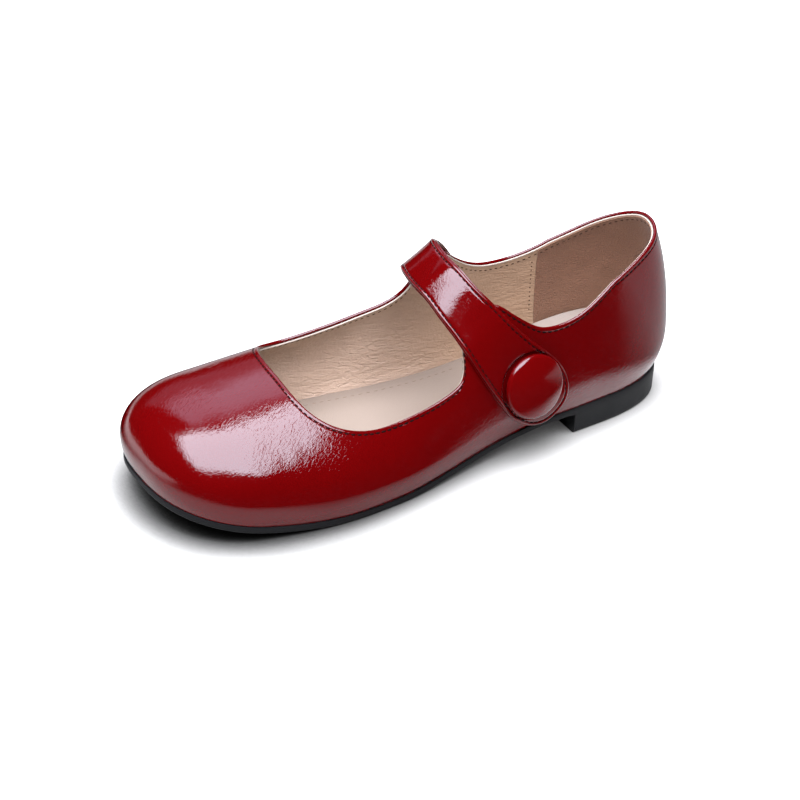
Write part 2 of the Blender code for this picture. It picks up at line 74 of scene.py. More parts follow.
# at is a share of LENGTH from the heel's back; the other columns are shares of the sizes above
SECTION_COLUMNS = ("at", "side", "centre", "lift", "spring", "girth", "tuck", "instep", "toe", "lean", "full")
SECTIONS = (
    (0.00, 0.98, 0.10, 1.12, 0.00, 1.37, 1.50, 1.28, 0.00, 0.08, 2.40),
    (0.12, 0.93, 0.04, 0.99, 0.00, 1.25, 1.02, 1.28, 0.00, 0.25, 2.40),
    (0.26, 1.03, 0.00, 0.92, 0.00, 1.10, 0.97, 1.33, 0.00, 0.46, 2.65),
    (0.40, 0.93, -0.28, 0.52, 0.00, 1.00, 1.07, 0.98, 0.00, 0.70, 2.85),
    (0.55, 0.91, -0.43, 0.07, 0.01, 0.93, 1.10, 0.50, 0.36, 1.00, 2.70),
    (0.70, 1.00, -0.35, -0.03, 0.01, 0.93, 1.00, 0.28, 0.60, 0.96, 2.50),
    (0.85, 0.975, 0.26, 0.00, 0.28, 0.86, 0.73, 0.07, 0.85, 0.56, 2.40),
    (1.00, 0.877, 1.00, 0.00, 1.00, 0.67, 0.57, 0.00, 0.73, 0.07, 2.35),
)
# lift is the height of the top edge in degrees, foot the share where that column meets the sole
TOPLINE_COLUMNS = ("at", "lift", "foot")
OUTER_TOPLINE = (
    (0.000, 39.5, 0.000),
    (0.060, 38.1, 0.060),
    (0.120, 35.0, 0.120),
    (0.180, 28.1, 0.180),
    (0.236, 22.9, 0.236),
    (0.280, 22.8, 0.280),
    (0.314, 25.9, 0.314),
    (0.343, 32.9, 0.342),
    (0.372, 43.8, 0.368),
    (0.386, 50.0, 0.381),
    (0.406, 56.5, 0.400),
    (0.424, 61.5, 0.418),
    (0.440, 62.5, 0.433),
    (0.454, 57.5, 0.447),
    (0.460, 47.0, 0.461),
    (0.4625, 38.0, 0.475),
    (0.470, 32.6, 0.490),
    (0.495, 30.6, 0.516),
    (0.540, 31.9, 0.562),
    (0.590, 33.7, 0.616),
    (0.645, 35.5, 0.690),
    (0.688, 40.2, 0.772),
    (0.722, 48.6, 0.850),
    (0.743, 60.0, 0.905),
    (0.751, 75.0, 0.955),
    (0.749, 90.0, 1.000),
)
INNER_TOPLINE = (
    (0.000, 39.5, 0.000),
    (0.060, 36.3, 0.060),
    (0.110, 32.0, 0.110),
    (0.160, 26.1, 0.160),
    (0.210, 22.5, 0.210),
    (0.258, 22.4, 0.258),
    (0.298, 25.6, 0.298),
    (0.330, 31.6, 0.328),
    (0.357, 40.5, 0.352),
    (0.380, 51.0, 0.374),
    (0.400, 56.5, 0.394),
    (0.420, 55.5, 0.415),
    (0.436, 49.6, 0.434),
    (0.447, 43.6, 0.452),
    (0.466, 41.2, 0.476),
    (0.520, 44.3, 0.535),
    (0.580, 47.2, 0.605),
    (0.640, 48.7, 0.690),
    (0.690, 50.2, 0.780),
    (0.714, 56.0, 0.860),
    (0.734, 68.0, 0.935),
    (0.749, 90.0, 1.000),
)


def spline(stations, values, at):
    """A natural cubic spline through the values, read at the given stations."""
    stations, values, at = (np.asarray(a, float) for a in (stations, values, at))
    count = len(stations)
    step = np.diff(stations)
    matrix = np.eye(count)
    right = np.zeros(count)
    for i in range(1, count - 1):
        matrix[i, i - 1 : i + 2] = step[i - 1], 2 * (step[i - 1] + step[i]), step[i]
        right[i] = 6 * ((values[i + 1] - values[i]) / step[i] - (values[i] - values[i - 1]) / step[i - 1])
    bend = np.linalg.solve(matrix, right)
    i = np.clip(np.searchsorted(stations, at) - 1, 0, count - 2)
    a = (stations[i + 1] - at) / step[i]
    b = 1 - a
    curve = (a**3 - a) * bend[i] + (b**3 - b) * bend[i + 1]
    return a * values[i] + b * values[i + 1] + curve * step[i] ** 2 / 6


def smooth(low, high, at):
    """A soft step from 0 at low to 1 at high, which may run either way."""
    t = np.clip((at - low) / (high - low), 0, 1)
    return t * t * (3 - 2 * t)


def unit(vectors):
    return vectors / (np.linalg.norm(vectors, axis=-1)[..., None] + 1e-12)


def column(table, columns, name):
    return np.array(table)[:, columns.index(name)]


def section(name, along):
    """A column of the last's sections at a distance along from the heel's back."""
    at = column(SECTIONS, SECTION_COLUMNS, "at")
    return spline(at * LENGTH, column(SECTIONS, SECTION_COLUMNS, name), along)


def half_width(along):
    ball_share = smooth(0.28, 0.60, along / LENGTH)
    return section("side", along) * (HEEL_WIDTH + (BALL_WIDTH - HEEL_WIDTH) * ball_share) / 2


def centre_line(along):
    return section("centre", along) * SWING


def bed(along):
    """The height of the last's bottom over the ground."""
    stack = OUTSOLE + GAP
    return stack + section("lift", along) * HEEL_LIFT + section("spring", along) * TOE_SPRING


def girth(along):
    """The height of the last's widest line over its bottom."""
    return section("girth", along) * GIRTH_HEIGHT


def rise(along):
    """The height of the last's top over its widest line."""
    return section("instep", along) * INSTEP_RISE + section("toe", along) * TOE_RISE


def plan_cap(along):
    """How far along lies into the round heel or toe, and the roundness there."""
    into_toe = np.maximum((along - (LENGTH - TOE_CAP)) / TOE_CAP, 0)
    into_heel = np.maximum((HEEL_CAP - along) / HEEL_CAP, 0)
    toe_half = along > LENGTH / 2
    return np.where(toe_half, into_toe, into_heel), np.where(toe_half, TOE_EXPONENT, HEEL_EXPONENT)


def last_top(along, across):
    """Points of the last above its widest line. across is a share of the half width."""
    into, power = plan_cap(along)
    share = np.clip((np.abs(across) ** power + into**power) ** (1 / power), 0, 1)
    height = np.sqrt(1 - share ** section("full", along))
    y = centre_line(along) + across * half_width(along) + section("lean", along) * INSTEP_LEAN * height
    z = bed(along) + girth(along) + rise(along) * height
    return np.stack([along, y, z], -1)


def outside(p):
    """Above zero outside the last, below zero inside it."""
    along = p[..., 0]
    height = np.clip((p[..., 2] - bed(along) - girth(along)) / rise(along), 0, None)
    lean = section("lean", along) * INSTEP_LEAN * np.minimum(height, 1)
    across = (p[..., 1] - centre_line(along) - lean) / half_width(along)
    into, power = plan_cap(along)
    share = (np.abs(across) ** power + into**power) ** (1 / power)
    return share ** section("full", along) + height**2 - 1


def last_normals(points, step=0.05 * MM):
    slope = [outside(points + step * np.eye(3)[k]) - outside(points - step * np.eye(3)[k]) for k in range(3)]
    return unit(np.stack(slope, -1))


def plan_point(at, inward, side):
    """A place on the plan, at along its edge round both ends, and inward from 1 at the edge to 0."""
    along = np.asarray(at, float) * LENGTH
    heel_turn = np.clip((HEEL_CAP - along) / HEEL_CAP, 0, 1) * np.pi / 2
    toe_turn = np.clip((along - (LENGTH - TOE_CAP)) / TOE_CAP, 0, 1) * np.pi / 2
    turn = heel_turn + toe_turn
    power = np.where(toe_turn > 0, TOE_EXPONENT, HEEL_EXPONENT)
    into = np.sin(turn) ** (2 / power)
    across = np.clip(np.cos(turn), 0, 1) ** (2 / power)
    middle = np.clip(along, HEEL_CAP, LENGTH - TOE_CAP)
    reach = np.where(toe_turn > 0, TOE_CAP, -HEEL_CAP) * into
    return middle + reach * inward, side * across * inward


def lifted(at, lift, side):
    """The place on the plan under a point of the last at a lift in degrees."""
    edge = plan_point(at, 1.0, side)[0]
    inward = np.clip(np.cos(np.radians(lift)), 0, 1) ** (2 / section("full", edge))
    return plan_point(at, inward, side)


def on_last(at, lift):
    """A point of the last, where lift runs from 0 at the outer side over 90 to 180 at the inner side."""
    side = np.where(lift <= 90, -1.0, 1.0)
    return last_top(*lifted(at, np.minimum(lift, 180 - lift), side))


def edge_loop(at, side):
    """The last's widest line seen from above."""
    along, across = plan_point(at, 1.0, side)
    return np.stack([along, centre_line(along) + across * half_width(along)], -1)


def plan_inward(at, side):
    """The direction on the plan that points in from the widest line."""
    small = 0.002
    turn = np.where(at > 0.5, -1, 1)
    tangent = unit((edge_loop(at + turn * small, side) - edge_loop(at, side)) * turn[:, None])
    inward = np.stack([tangent[:, 1], -tangent[:, 0]], -1) * side[:, None]
    tips = (at <= 0) | (at >= 1)
    inward[tips] = np.stack([np.where(at > 0.5, -1.0, 1.0), np.zeros(len(at))], -1)[tips]
    return inward


def inset_loop(at, side, inset):
    """The widest line seen from above, moved in by inset."""
    return edge_loop(at, side) + plan_inward(at, side) * np.asarray(inset)[..., None]


PLAN_TRACE = 201
plan_trace = np.linspace(0, 1, PLAN_TRACE)
outer_limit = edge_loop(plan_trace, -np.ones(PLAN_TRACE))[:, 1].min()
inner_limit = edge_loop(plan_trace, np.ones(PLAN_TRACE))[:, 1].max()
MIDDLE = (outer_limit + inner_limit) / 2


def world(points):
    """From heel-to-toe coordinates to the shoe's frame."""
    points = np.asarray(points, float)
    return np.stack([LENGTH / 2 - points[..., 0], points[..., 1] - MIDDLE, points[..., 2]], -1)


MEAN_RISE = 0.6
TOPLINE_TRACE = 2000


def topline_side(rows, opposite):
    """A smooth topline through one side's rows, which runs on into the other side at both ends."""
    own_at, own_lift, own_foot = (column(rows, TOPLINE_COLUMNS, name) for name in TOPLINE_COLUMNS)
    far_at, far_lift = (column(opposite, TOPLINE_COLUMNS, name) for name in ("at", "lift"))
    before = np.stack([-far_at, far_lift], -1)[2:0:-1]
    after = np.stack([far_at, 180 - far_lift], -1)[-2:-4:-1]
    points = np.concatenate([before, np.stack([own_at, own_lift], -1), after])
    step = np.diff(points, axis=0) * np.array([LENGTH, np.radians(1) * INSTEP_RISE * MEAN_RISE])
    reach = np.concatenate([[0], np.cumsum(np.linalg.norm(step, axis=1))])
    own = reach[2:-2]
    dense = np.linspace(own[0], own[-1], TOPLINE_TRACE)
    at = np.clip(spline(reach, points[:, 0], dense), 0, 1)
    lift = np.clip(spline(reach, points[:, 1], dense), 0, 90)
    return at, lift, np.interp(dense, own, own_foot)


SIDE_COLUMNS = 361


def side_columns(rows, opposite, side):
    """Evenly spaced wall columns of one side: the foot's station and the top edge's place on the plan."""
    at, lift, foot = topline_side(rows, opposite)
    sides = np.full(len(at), side)
    top = np.stack(lifted(at, lift, sides), -1)
    path = np.concatenate([last_top(top[:, 0], top[:, 1]), edge_loop(foot, sides)], -1)
    reach = np.concatenate([[0], np.cumsum(np.linalg.norm(np.diff(path, axis=0), axis=1))])
    want = np.linspace(0, reach[-1], SIDE_COLUMNS)
    at, lift, foot = (np.interp(want, reach, a) for a in (at, lift, foot))
    return foot, np.full(SIDE_COLUMNS, side), np.stack(lifted(at, lift, np.full(SIDE_COLUMNS, side)), -1)


outer_columns = side_columns(OUTER_TOPLINE, INNER_TOPLINE, -1.0)
inner_columns = side_columns(INNER_TOPLINE, OUTER_TOPLINE, 1.0)
foot, side, top = (np.concatenate([a, b[-2:0:-1]]) for a, b in zip(outer_columns, inner_columns))
COLUMNS = len(foot)
start = np.stack(plan_point(foot, 1.0, side), -1)

# how far down from the folded edge each row of the wall lies
EDGE_ROWS = MM * np.array([
    0.12, 0.35, 0.6, 0.9, 1.2, 1.45, 1.65, 1.8, 1.92, 2.04, 2.15, 2.26, 2.38, 2.52, 2.75, 3.2, 4.0, 5.0, 6.0,
])
WALL_ROWS = 46
WALL_TRACE = 160
trace_climb = np.linspace(1, 0, WALL_TRACE)
trace = start[None] + (top - start)[None] * (trace_climb**2)[:, None, None]
trace = last_top(trace[..., 0], trace[..., 1])
trace_steps = np.linalg.norm(np.diff(trace, axis=0), axis=-1)
trace_down = np.concatenate([np.zeros((1, COLUMNS)), np.cumsum(trace_steps, axis=0)])
wall_length = trace_down[-1]


def wall_at(down):
    """Points of the wall at a distance down from its top edge, one for each column, and their normals."""
    climb = np.stack([np.interp(down[:, c], trace_down[:, c], trace_climb) for c in range(COLUMNS)], 1)
    place = start[None] + (top - start)[None] * (climb**2)[..., None]
    points = last_top(place[..., 0], place[..., 1])
    return points, last_normals(points)


share = np.linspace(0, 1, WALL_ROWS)[1:]
wall_down = np.concatenate([
    np.repeat(EDGE_ROWS[:, None], COLUMNS, 1),
    EDGE_ROWS[-1] + (wall_length - EDGE_ROWS[-1])[None] * share[:, None],
])
wall, wall_normals = wall_at(wall_down)

TUCK_ROWS = 10
foot_in = plan_inward(foot, side)
foot_edge = edge_loop(foot, side)
tuck = section("tuck", start[:, 0]) * FEATHER_TUCK
tucked = []
tucked_normals = []
for depth in np.linspace(0, 1, TUCK_ROWS)[1:]:
    loop = foot_edge + foot_in * (tuck * depth**2)[:, None]
    high = girth(loop[:, 0])
    tucked.append(np.column_stack([loop, bed(loop[:, 0]) + high * (1 - depth)]))
    tucked_normals.append(unit(np.column_stack([-foot_in * high[:, None], -2 * tuck * depth])))
skin = np.concatenate([wall, tucked])
skin_normals = np.concatenate([wall_normals, tucked_normals])
skin_down = np.concatenate([wall_down, wall_length[None] + np.arange(1, TUCK_ROWS)[:, None] * MM])


def net_faces(rows, columns, offset=0, close=False):
    """Quads of a net of rows by columns. A closed net joins its last column to its first."""
    r, c = np.meshgrid(np.arange(rows - 1), np.arange(columns if close else columns - 1), indexing="ij")
    n = (c + 1) % columns
    low = offset + r * columns
    high = low + columns
    return np.stack([low + c, low + n, high + n, high + c], -1).reshape(-1, 4)


def make_piece(name, points, faces, material, sharp=35):
    """A mesh object in the shoe's frame with double points merged and its faces turned out."""
    mesh = bpy.data.meshes.new(name)
    mesh.from_pydata(world(points).tolist(), [], [tuple(int(i) for i in f) for f in faces])
    net = bmesh.new()
    net.from_mesh(mesh)
    bmesh.ops.remove_doubles(net, verts=net.verts, dist=1e-6)
    bmesh.ops.dissolve_degenerate(net, edges=net.edges, dist=1e-7)
    bmesh.ops.recalc_face_normals(net, faces=net.faces)
    net.to_mesh(mesh)
    net.free()
    mesh.shade_smooth()
    mesh.set_sharp_from_angle(angle=math.radians(sharp))
    mesh.materials.append(material)
    piece = bpy.data.objects.new(name, mesh)
    scene.collection.objects.link(piece)
    return piece


def ring_piece(name, rows, material):
    """A closed shell from rows of equal length that run round and back to the first row."""
    rows = np.asarray(rows)
    count = rows.shape[1]
    faces = list(net_faces(len(rows), count, close=True))
    last = (len(rows) - 1) * count
    n = (np.arange(count) + 1) % count
    faces += list(np.stack([last + np.arange(count), last + n, n, np.arange(count)], -1))
    return make_piece(name, rows.reshape(-1, 3), faces, material)


def socket(tree, name, kind, value=None, out=False):
    made = tree.interface.new_socket(name, in_out="OUTPUT" if out else "INPUT", socket_type=kind)
    if value is not None:
        made.default_value = value
    return made


def node(tree, kind, settings=(), **inputs):
    """A node with its settings and its inputs, which are values or other nodes' outputs."""
    made = tree.nodes.new(kind)
    for name, value in dict(settings).items():
        setattr(made, name, value)
    for name, value in inputs.items():
        key = int(name[1:]) if name[0] == "_" else name.replace("_", " ")
        if isinstance(value, bpy.types.NodeSocket):
            tree.links.new(value, made.inputs[key])
        else:
            made.inputs[key].default_value = value
    return made


def maths(tree, operation, first, second=0.0):
    return node(tree, "ShaderNodeMath", {"operation": operation}, _0=first, _1=second).outputs[0]


def grain_group():
    """Leather grain: fine crinkles and soft unevenness, as a height, and a slow change of shade."""
    tree = bpy.data.node_groups.new("leather grain", "ShaderNodeTree")
    for name, kind, value in (
        ("Place", "NodeSocketVector", None),
        ("Crinkle size", "NodeSocketFloat", 1.1 * MM),
        ("Crinkle", "NodeSocketFloat", 1.0),
        ("Slant", "NodeSocketVector", (0.0, 0.0, 0.65)),
        ("Stretch", "NodeSocketVector", (0.32, 1.0, 1.0)),
        ("Pores", "NodeSocketFloat", 0.2),
        ("Swell", "NodeSocketFloat", 1.0),
    ):
        socket(tree, name, kind, value)
    socket(tree, "Height", "NodeSocketFloat", out=True)
    socket(tree, "Shade", "NodeSocketFloat", out=True)
    given = tree.nodes.new("NodeGroupInput").outputs
    result = tree.nodes.new("NodeGroupOutput").inputs
    scale = maths(tree, "DIVIDE", 1.0, given["Crinkle size"])
    turned = node(
        tree, "ShaderNodeVectorRotate", {"rotation_type": "EULER_XYZ", "invert": True},
        Vector=given["Place"], Rotation=given["Slant"],
    ).outputs[0]
    drawn = node(
        tree, "ShaderNodeVectorMath", {"operation": "MULTIPLY"}, _0=turned, _1=given["Stretch"],
    ).outputs[0]
    crinkle = node(
        tree, "ShaderNodeTexNoise", Vector=drawn, Scale=scale, Detail=2.0, Roughness=0.5, Distortion=1.0,
    ).outputs[0]
    pore_scale = maths(tree, "MULTIPLY", scale, 1.6)
    pores = node(
        tree, "ShaderNodeTexVoronoi", {"feature": "SMOOTH_F1"}, Vector=given["Place"], Scale=pore_scale,
    ).outputs["Distance"]
    swell = node(tree, "ShaderNodeTexNoise", Vector=given["Place"], Scale=70.0, Detail=1.0).outputs[0]
    slow = node(tree, "ShaderNodeTexNoise", Vector=given["Place"], Scale=28.0, Detail=2.0).outputs[0]
    # some patches of the hide crinkle more than others
    patch = node(
        tree, "ShaderNodeMapRange", Value=slow, From_Min=0.38, From_Max=0.62, To_Min=0.45, To_Max=1.35,
    ).outputs[0]
    height = maths(tree, "MULTIPLY", maths(tree, "MULTIPLY", crinkle, given["Crinkle"]), patch)
    height = maths(tree, "ADD", height, maths(tree, "MULTIPLY", pores, given["Pores"]))
    height = maths(tree, "ADD", height, maths(tree, "MULTIPLY", swell, given["Swell"]))
    tree.links.new(height, result["Height"])
    shade = maths(tree, "MULTIPLY", maths(tree, "ADD", slow, crinkle), 0.5)
    tree.links.new(shade, result["Shade"])
    return tree


leather_grain = grain_group()


def colour_mix(tree, share, dark, light):
    """The mix of two plain colours by a share."""
    mix = node(tree, "ShaderNodeMix", {"data_type": "RGBA"}, _0=share, _6=(*dark, 1), _7=(*light, 1))
    return mix.outputs[2]


def finish_material(name, light, dark, grain, bump, **shader):
    """A material whose shade and height come from the leather grain group, set by the values in grain."""
    made = bpy.data.materials.new(name)
    made.use_nodes = True
    tree = made.node_tree
    principled = tree.nodes["Principled BSDF"]
    place = node(tree, "ShaderNodeTexCoord").outputs["Object"]
    group = node(tree, "ShaderNodeGroup", {"node_tree": leather_grain}, Place=place, **grain)
    colour = colour_mix(tree, group.outputs["Shade"], dark, light)
    tree.links.new(colour, principled.inputs["Base Color"])
    lift = node(tree, "ShaderNodeBump", Strength=1.0, Distance=bump, Height=group.outputs["Height"])
    tree.links.new(lift.outputs[0], principled.inputs["Normal"])
    if shader.get("Coat_Weight", 0) > 0:
        tree.links.new(lift.outputs[0], principled.inputs["Coat Normal"])
    for key, value in shader.items():
        principled.inputs[key.replace("_", " ")].default_value = value
    return made


PATENT_SKIN = dict(
    Roughness=0.12, Specular_IOR_Level=0.12, Specular_Tint=(0.25, 1.0, 1.25, 1),
    Coat_Weight=1.0, Coat_IOR=1.5,
)
red_patent = finish_material(
    "red patent leather", (0.110, 0.0006, 0.0010), (0.080, 0.0005, 0.0008),
    dict(Crinkle_size=1.0 * MM, Crinkle=0.95, Pores=0.0, Swell=3.0), 0.085 * MM,
    Coat_Roughness=0.06, **PATENT_SKIN,
)

LEATHER = 1.0 * MM
FOLD_RADIUS = 0.80 * MM
FOLD_SWELL = 0.20 * MM
FOLD_FROM = 1.9 * MM
FOLD_TO = 3.2 * MM
FOLD_TURNS = (80, 60, 35, 10)
STITCH_DOWN = 2.15 * MM
STITCH_GROOVE = 0.30 * MM
GROOVE_WIDTH = 0.42 * MM


def fold_offset(down):
    """How far the folded edge stands out, with the groove that its stitches pull in."""
    groove = np.exp(-(((down - STITCH_DOWN) / GROOVE_WIDTH) ** 2))
    return FOLD_SWELL * (1 - smooth(FOLD_FROM, FOLD_TO, down)) - STITCH_GROOVE * groove


turn = np.radians(np.array(FOLD_TURNS))
lip_rows = []
for angle in np.concatenate([turn[::-1], np.pi - turn]):
    down = FOLD_RADIUS * (1 - math.sin(angle))
    point, normal = wall_at(np.full((1, COLUMNS), down))
    out = FOLD_SWELL - FOLD_RADIUS + FOLD_RADIUS * math.cos(angle)
    lip_rows.append(point[0] + normal[0] * out)

# each crease's middle as a share of LENGTH from the heel, a share of half the width and a height
# (mm), its turn on the plan (degrees), and its half length, half width and depth (mm)
CREASE_HEIGHT = 9 * MM
CREASES = (
    (0.665, -0.62, 34, 60, 6.0, 1.8, 0.16),
    (0.640, -0.72, 31, 50, 7.0, 1.9, 0.14),
    (0.700, -0.48, 38, 70, 6.0, 1.8, 0.13),
    (0.610, -0.82, 28, 38, 7.0, 2.0, 0.12),
    (0.735, -0.10, 43, 95, 7.0, 2.0, 0.12),
    (0.480, -0.98, 22, 10, 9.0, 2.6, 0.16),
    (0.520, 0.98, 24, -8, 9.0, 2.6, 0.16),
    (0.660, 0.62, 34, -60, 7.0, 2.0, 0.14),
)


def crease_depth(points):
    """Soft troughs where the leather bends at the throat's corners and beside the arch."""
    deep_sum = 0
    for at, out, high, turn_by, half, wide, deep in CREASES:
        c, s = math.cos(math.radians(turn_by)), math.sin(math.radians(turn_by))
        gap = points - np.array([at * LENGTH, out * BALL_WIDTH / 2, high * MM])
        u = (gap[..., 0] * c + gap[..., 1] * s) / (half * MM)
        v = (gap[..., 1] * c - gap[..., 0] * s) / (wide * MM)
        w = gap[..., 2] / CREASE_HEIGHT
        deep_sum = deep_sum + deep * MM * np.exp(-(u**2) - v**2 - w**2)
    return deep_sum


outer_rows = skin + skin_normals * (fold_offset(skin_down) - crease_depth(skin))[..., None]
keep = EDGE_ROWS > FOLD_RADIUS
body_rows = np.concatenate([outer_rows[: len(EDGE_ROWS)][keep], outer_rows[len(EDGE_ROWS) :]])
MARGIN_CORNER = 0.5 * MM
MARGIN_DROP = 0.22 * MM
margin = []
for inset in (MARGIN_CORNER, LASTING_MARGIN):
    loop = inset_loop(foot, side, tuck + inset)
    margin.append(np.column_stack([loop, bed(loop[:, 0]) - MARGIN_DROP]))
margin_top = margin[-1] + np.array([0, 0, LEATHER])
# the leather's inner face has every fourth row of the wall, and two rows close under the fold
inner_pick = np.r_[4, 5, len(EDGE_ROWS) - 1 : len(skin) : 4][::-1]
inner_rows = skin[inner_pick] - skin_normals[inner_pick] * LEATHER
rows = np.concatenate([
    lip_rows[:4][::-1], body_rows, margin, margin_top[None], inner_rows, lip_rows[4:][::-1],
])
upper_leather = ring_piece("upper_leather", rows, red_patent)
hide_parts("upper")
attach(upper_leather, "root")

# The lining: a soft beige leather, finely wrinkled, glued inside the upper. It is painted darker and
# yellower towards the heel, as painted shade deep in the shoe, and its top edge is cut bare just inside the
# fold.
lining_leather = finish_material(
    "beige lining leather", (0.720, 0.550, 0.420), (0.480, 0.350, 0.252),
    dict(
        Crinkle_size=1.45 * MM, Crinkle=2.1, Pores=0.4, Swell=4.0,
        Slant=(0.0, 0.12, 0.0), Stretch=(0.3, 1.0, 1.0),
    ), 0.26 * MM,
    Roughness=0.5, Sheen_Weight=0.1,
)


def soft_step(tree, value, low, high):
    """A value that runs softly from 0 at low to 1 at high."""
    ramp = {"interpolation_type": "SMOOTHSTEP"}
    return node(tree, "ShaderNodeMapRange", ramp, Value=value, From_Min=low, From_Max=high).outputs[0]


def object_place(tree):
    """The x, y and z of a place on the piece."""
    place = node(tree, "ShaderNodeTexCoord").outputs["Object"]
    return node(tree, "ShaderNodeSeparateXYZ", _0=place).outputs


# painted shade: the lining's colour is multiplied darker and yellower from the quarters' front to the heel
HEEL_SHADE_FROM = -5 * MM
HEEL_SHADE_TO = 55 * MM
HEEL_SHADE_TINT = (0.78, 0.70, 0.60, 1)
tree = lining_leather.node_tree
toward_heel = soft_step(tree, object_place(tree)[0], HEEL_SHADE_FROM, HEEL_SHADE_TO)
principled = tree.nodes["Principled BSDF"]
painted_heel_shade = node(
    tree, "ShaderNodeMix", {"data_type": "RGBA", "blend_type": "MULTIPLY"}, _0=toward_heel, _7=HEEL_SHADE_TINT,
)
tree.links.new(principled.inputs["Base Color"].links[0].from_socket, painted_heel_shade.inputs[6])
tree.links.new(painted_heel_shade.outputs[2], principled.inputs["Base Color"])
LINING_BACK = 1.45 * MM
LINING_FRONT = 2.05 * MM
# round the lining's top edge, from back to front: the way down from the fold and into the shoe (mm)
LINING_EDGE = (
    (2.4, 1.45), (1.5, 1.45), (1.12, 1.5), (1.0, 1.65), (1.0, 1.85), (1.12, 2.0), (1.5, 2.05), (2.0, 2.05),
)
lining_rows = []
for down, depth in LINING_EDGE:
    point, normal = wall_at(np.full((1, COLUMNS), down * MM))
    lining_rows.append(point[0] - normal[0] * depth * MM)
below_edge = int(np.argmax(EDGE_ROWS > 2.5 * MM))
front_pick = np.r_[below_edge : len(EDGE_ROWS) : 3, len(EDGE_ROWS) : len(skin) - 1 : 2]
front = skin[front_pick] - skin_normals[front_pick] * LINING_FRONT
back_pick = front_pick[::-2]
back = skin[back_pick] - skin_normals[back_pick] * LINING_BACK
lining = ring_piece("upper_lining", np.concatenate([lining_rows, front, back]), lining_leather)
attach(lining, "root")

# The lining's bare top edge: the pale cut edge of the skived leather, rounded by wear. It shows
# as a thin cream line between the fold and the lining.
edge_leather = finish_material(
    "pale lining edge", (0.52, 0.47, 0.40), (0.46, 0.41, 0.35),
    dict(Crinkle_size=0.9 * MM, Crinkle=0.6, Pores=0.4, Swell=0.6), 0.06 * MM,
    Roughness=0.55,
)
# the rounded edge's middle lies this far down from the fold and into the shoe (mm)
ROUND_DOWN, ROUND_DEEP = 1.05, 1.78
ROUND_HIGH, ROUND_THICK = 0.34, 0.36
round_rows = []
for angle in np.radians(np.arange(0, 360, 45)):
    point, normal = wall_at(np.full((1, COLUMNS), (ROUND_DOWN - ROUND_HIGH * math.sin(angle)) * MM))
    round_rows.append(point[0] - normal[0] * (ROUND_DEEP + ROUND_THICK * math.cos(angle)) * MM)
lining_edge = ring_piece("lining_edge", round_rows, edge_leather)
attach(lining_edge, "root")

# The heel lining: a separate piece of slightly darker leather round the back of the foot, its
# front edges stitched over the lining with two rows of needle holes.
heel_leather = finish_material(
    "heel lining leather", (0.300, 0.160, 0.096), (0.215, 0.108, 0.062),
    dict(Crinkle_size=0.9 * MM, Crinkle=1.2, Pores=1.2, Swell=4.0), 0.26 * MM,
    Roughness=0.6, Sheen_Weight=0.15,
)
HEEL_LINING_FRONT = 0.185
HEEL_LINING = 0.45 * MM
HEEL_LINING_SUNK = 0.2 * MM
around = np.roll(np.arange(COLUMNS), COLUMNS // 2)
around = around[foot[around] < HEEL_LINING_FRONT]
below_cut = int(np.argmax(EDGE_ROWS > 1.4 * MM))
heel_pick = np.r_[below_cut : len(EDGE_ROWS) : 3, len(EDGE_ROWS) : len(skin) - 1 : 2]
heel_front = (skin[heel_pick] - skin_normals[heel_pick] * (LINING_FRONT + HEEL_LINING))[:, around]
heel_back = (skin[heel_pick] - skin_normals[heel_pick] * (LINING_FRONT - HEEL_LINING_SUNK))[:, around]


def sheet_piece(name, face, back, material):
    """A closed thin piece between two open nets of the same size."""
    rows, columns = face.shape[:2]
    count = rows * columns
    index = np.arange(count).reshape(rows, columns)
    rim = np.concatenate([index[0], index[1:, -1], index[-1, -2::-1], index[-2:0:-1, 0]])
    ahead = np.roll(rim, -1)
    sides = np.stack([rim, ahead, ahead + count, rim + count], -1)
    faces = np.concatenate([net_faces(rows, columns), net_faces(rows, columns, offset=count), sides])
    points = np.concatenate([face.reshape(-1, 3), back.reshape(-1, 3)])
    return make_piece(name, points, faces, material)


heel_lining = sheet_piece("heel_lining", heel_front, heel_back, heel_leather)
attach(heel_lining, "root")

# The insole: a pale leather sock glued over the insole board, with a sewn line near its edge. Under
# the heel it lies on a foam cushion and rises towards its sides.
WALL = 1.8 * MM
INSOLE = 2.0 * MM
INSOLE_FLARE = 0.25
CUSHION = 3.5 * MM
CUSHION_SIDES = 6.5 * MM
CUSHION_FROM = 85 * MM
CUSHION_FULL = 15 * MM
PLATE_STATIONS = 160
PLATE_LANES = 24
END_CROWDING = 0.75


def crowded_stations(count, start=0.0, end=1.0):
    """Shares of the length that lie closer together towards both ends."""
    t = np.linspace(0, 1, count)
    return start + (end - start) * (t - END_CROWDING * np.sin(2 * np.pi * t) / (2 * np.pi))


def plate_edges(stations, inset):
    """The outer and the inner edge of a plate under the foot, moved in by inset."""
    return tuple(inset_loop(stations, np.full(len(stations), side), inset) for side in (-1.0, 1.0))


def plate_piece(name, stations, rings, material, dish=None):
    """A plate from rings of an inset and a height function, the top one first. dish lifts the top."""
    count = len(stations)
    wide = PLATE_LANES + 1
    t = np.linspace(0, 1, wide)[None, :, None]
    layers = []
    for inset, height in rings:
        outer, inner = plate_edges(stations, inset)
        flat = outer[:, None] * (1 - t) + inner[:, None] * t
        level = height(flat[..., 0])
        if dish is not None and len(layers) < len(rings) - 1:
            level = level + dish(flat[..., 0], np.abs(2 * t[..., 0] - 1))
        layers.append(np.concatenate([flat, level[..., None]], -1))
    points = []
    faces = []
    for layer in (layers[0], layers[-1]):
        faces += list(net_faces(count, wide, offset=len(points)))
        points += list(layer.reshape(-1, 3))
    rims = [np.concatenate([a[:, 0], a[-1, 1:], a[-2::-1, -1], a[0, -2:0:-1]]) for a in layers]
    faces += list(net_faces(len(rims), len(rims[0]), offset=len(points), close=True))
    points += list(np.concatenate(rims))
    return make_piece(name, np.array(points), faces, material)


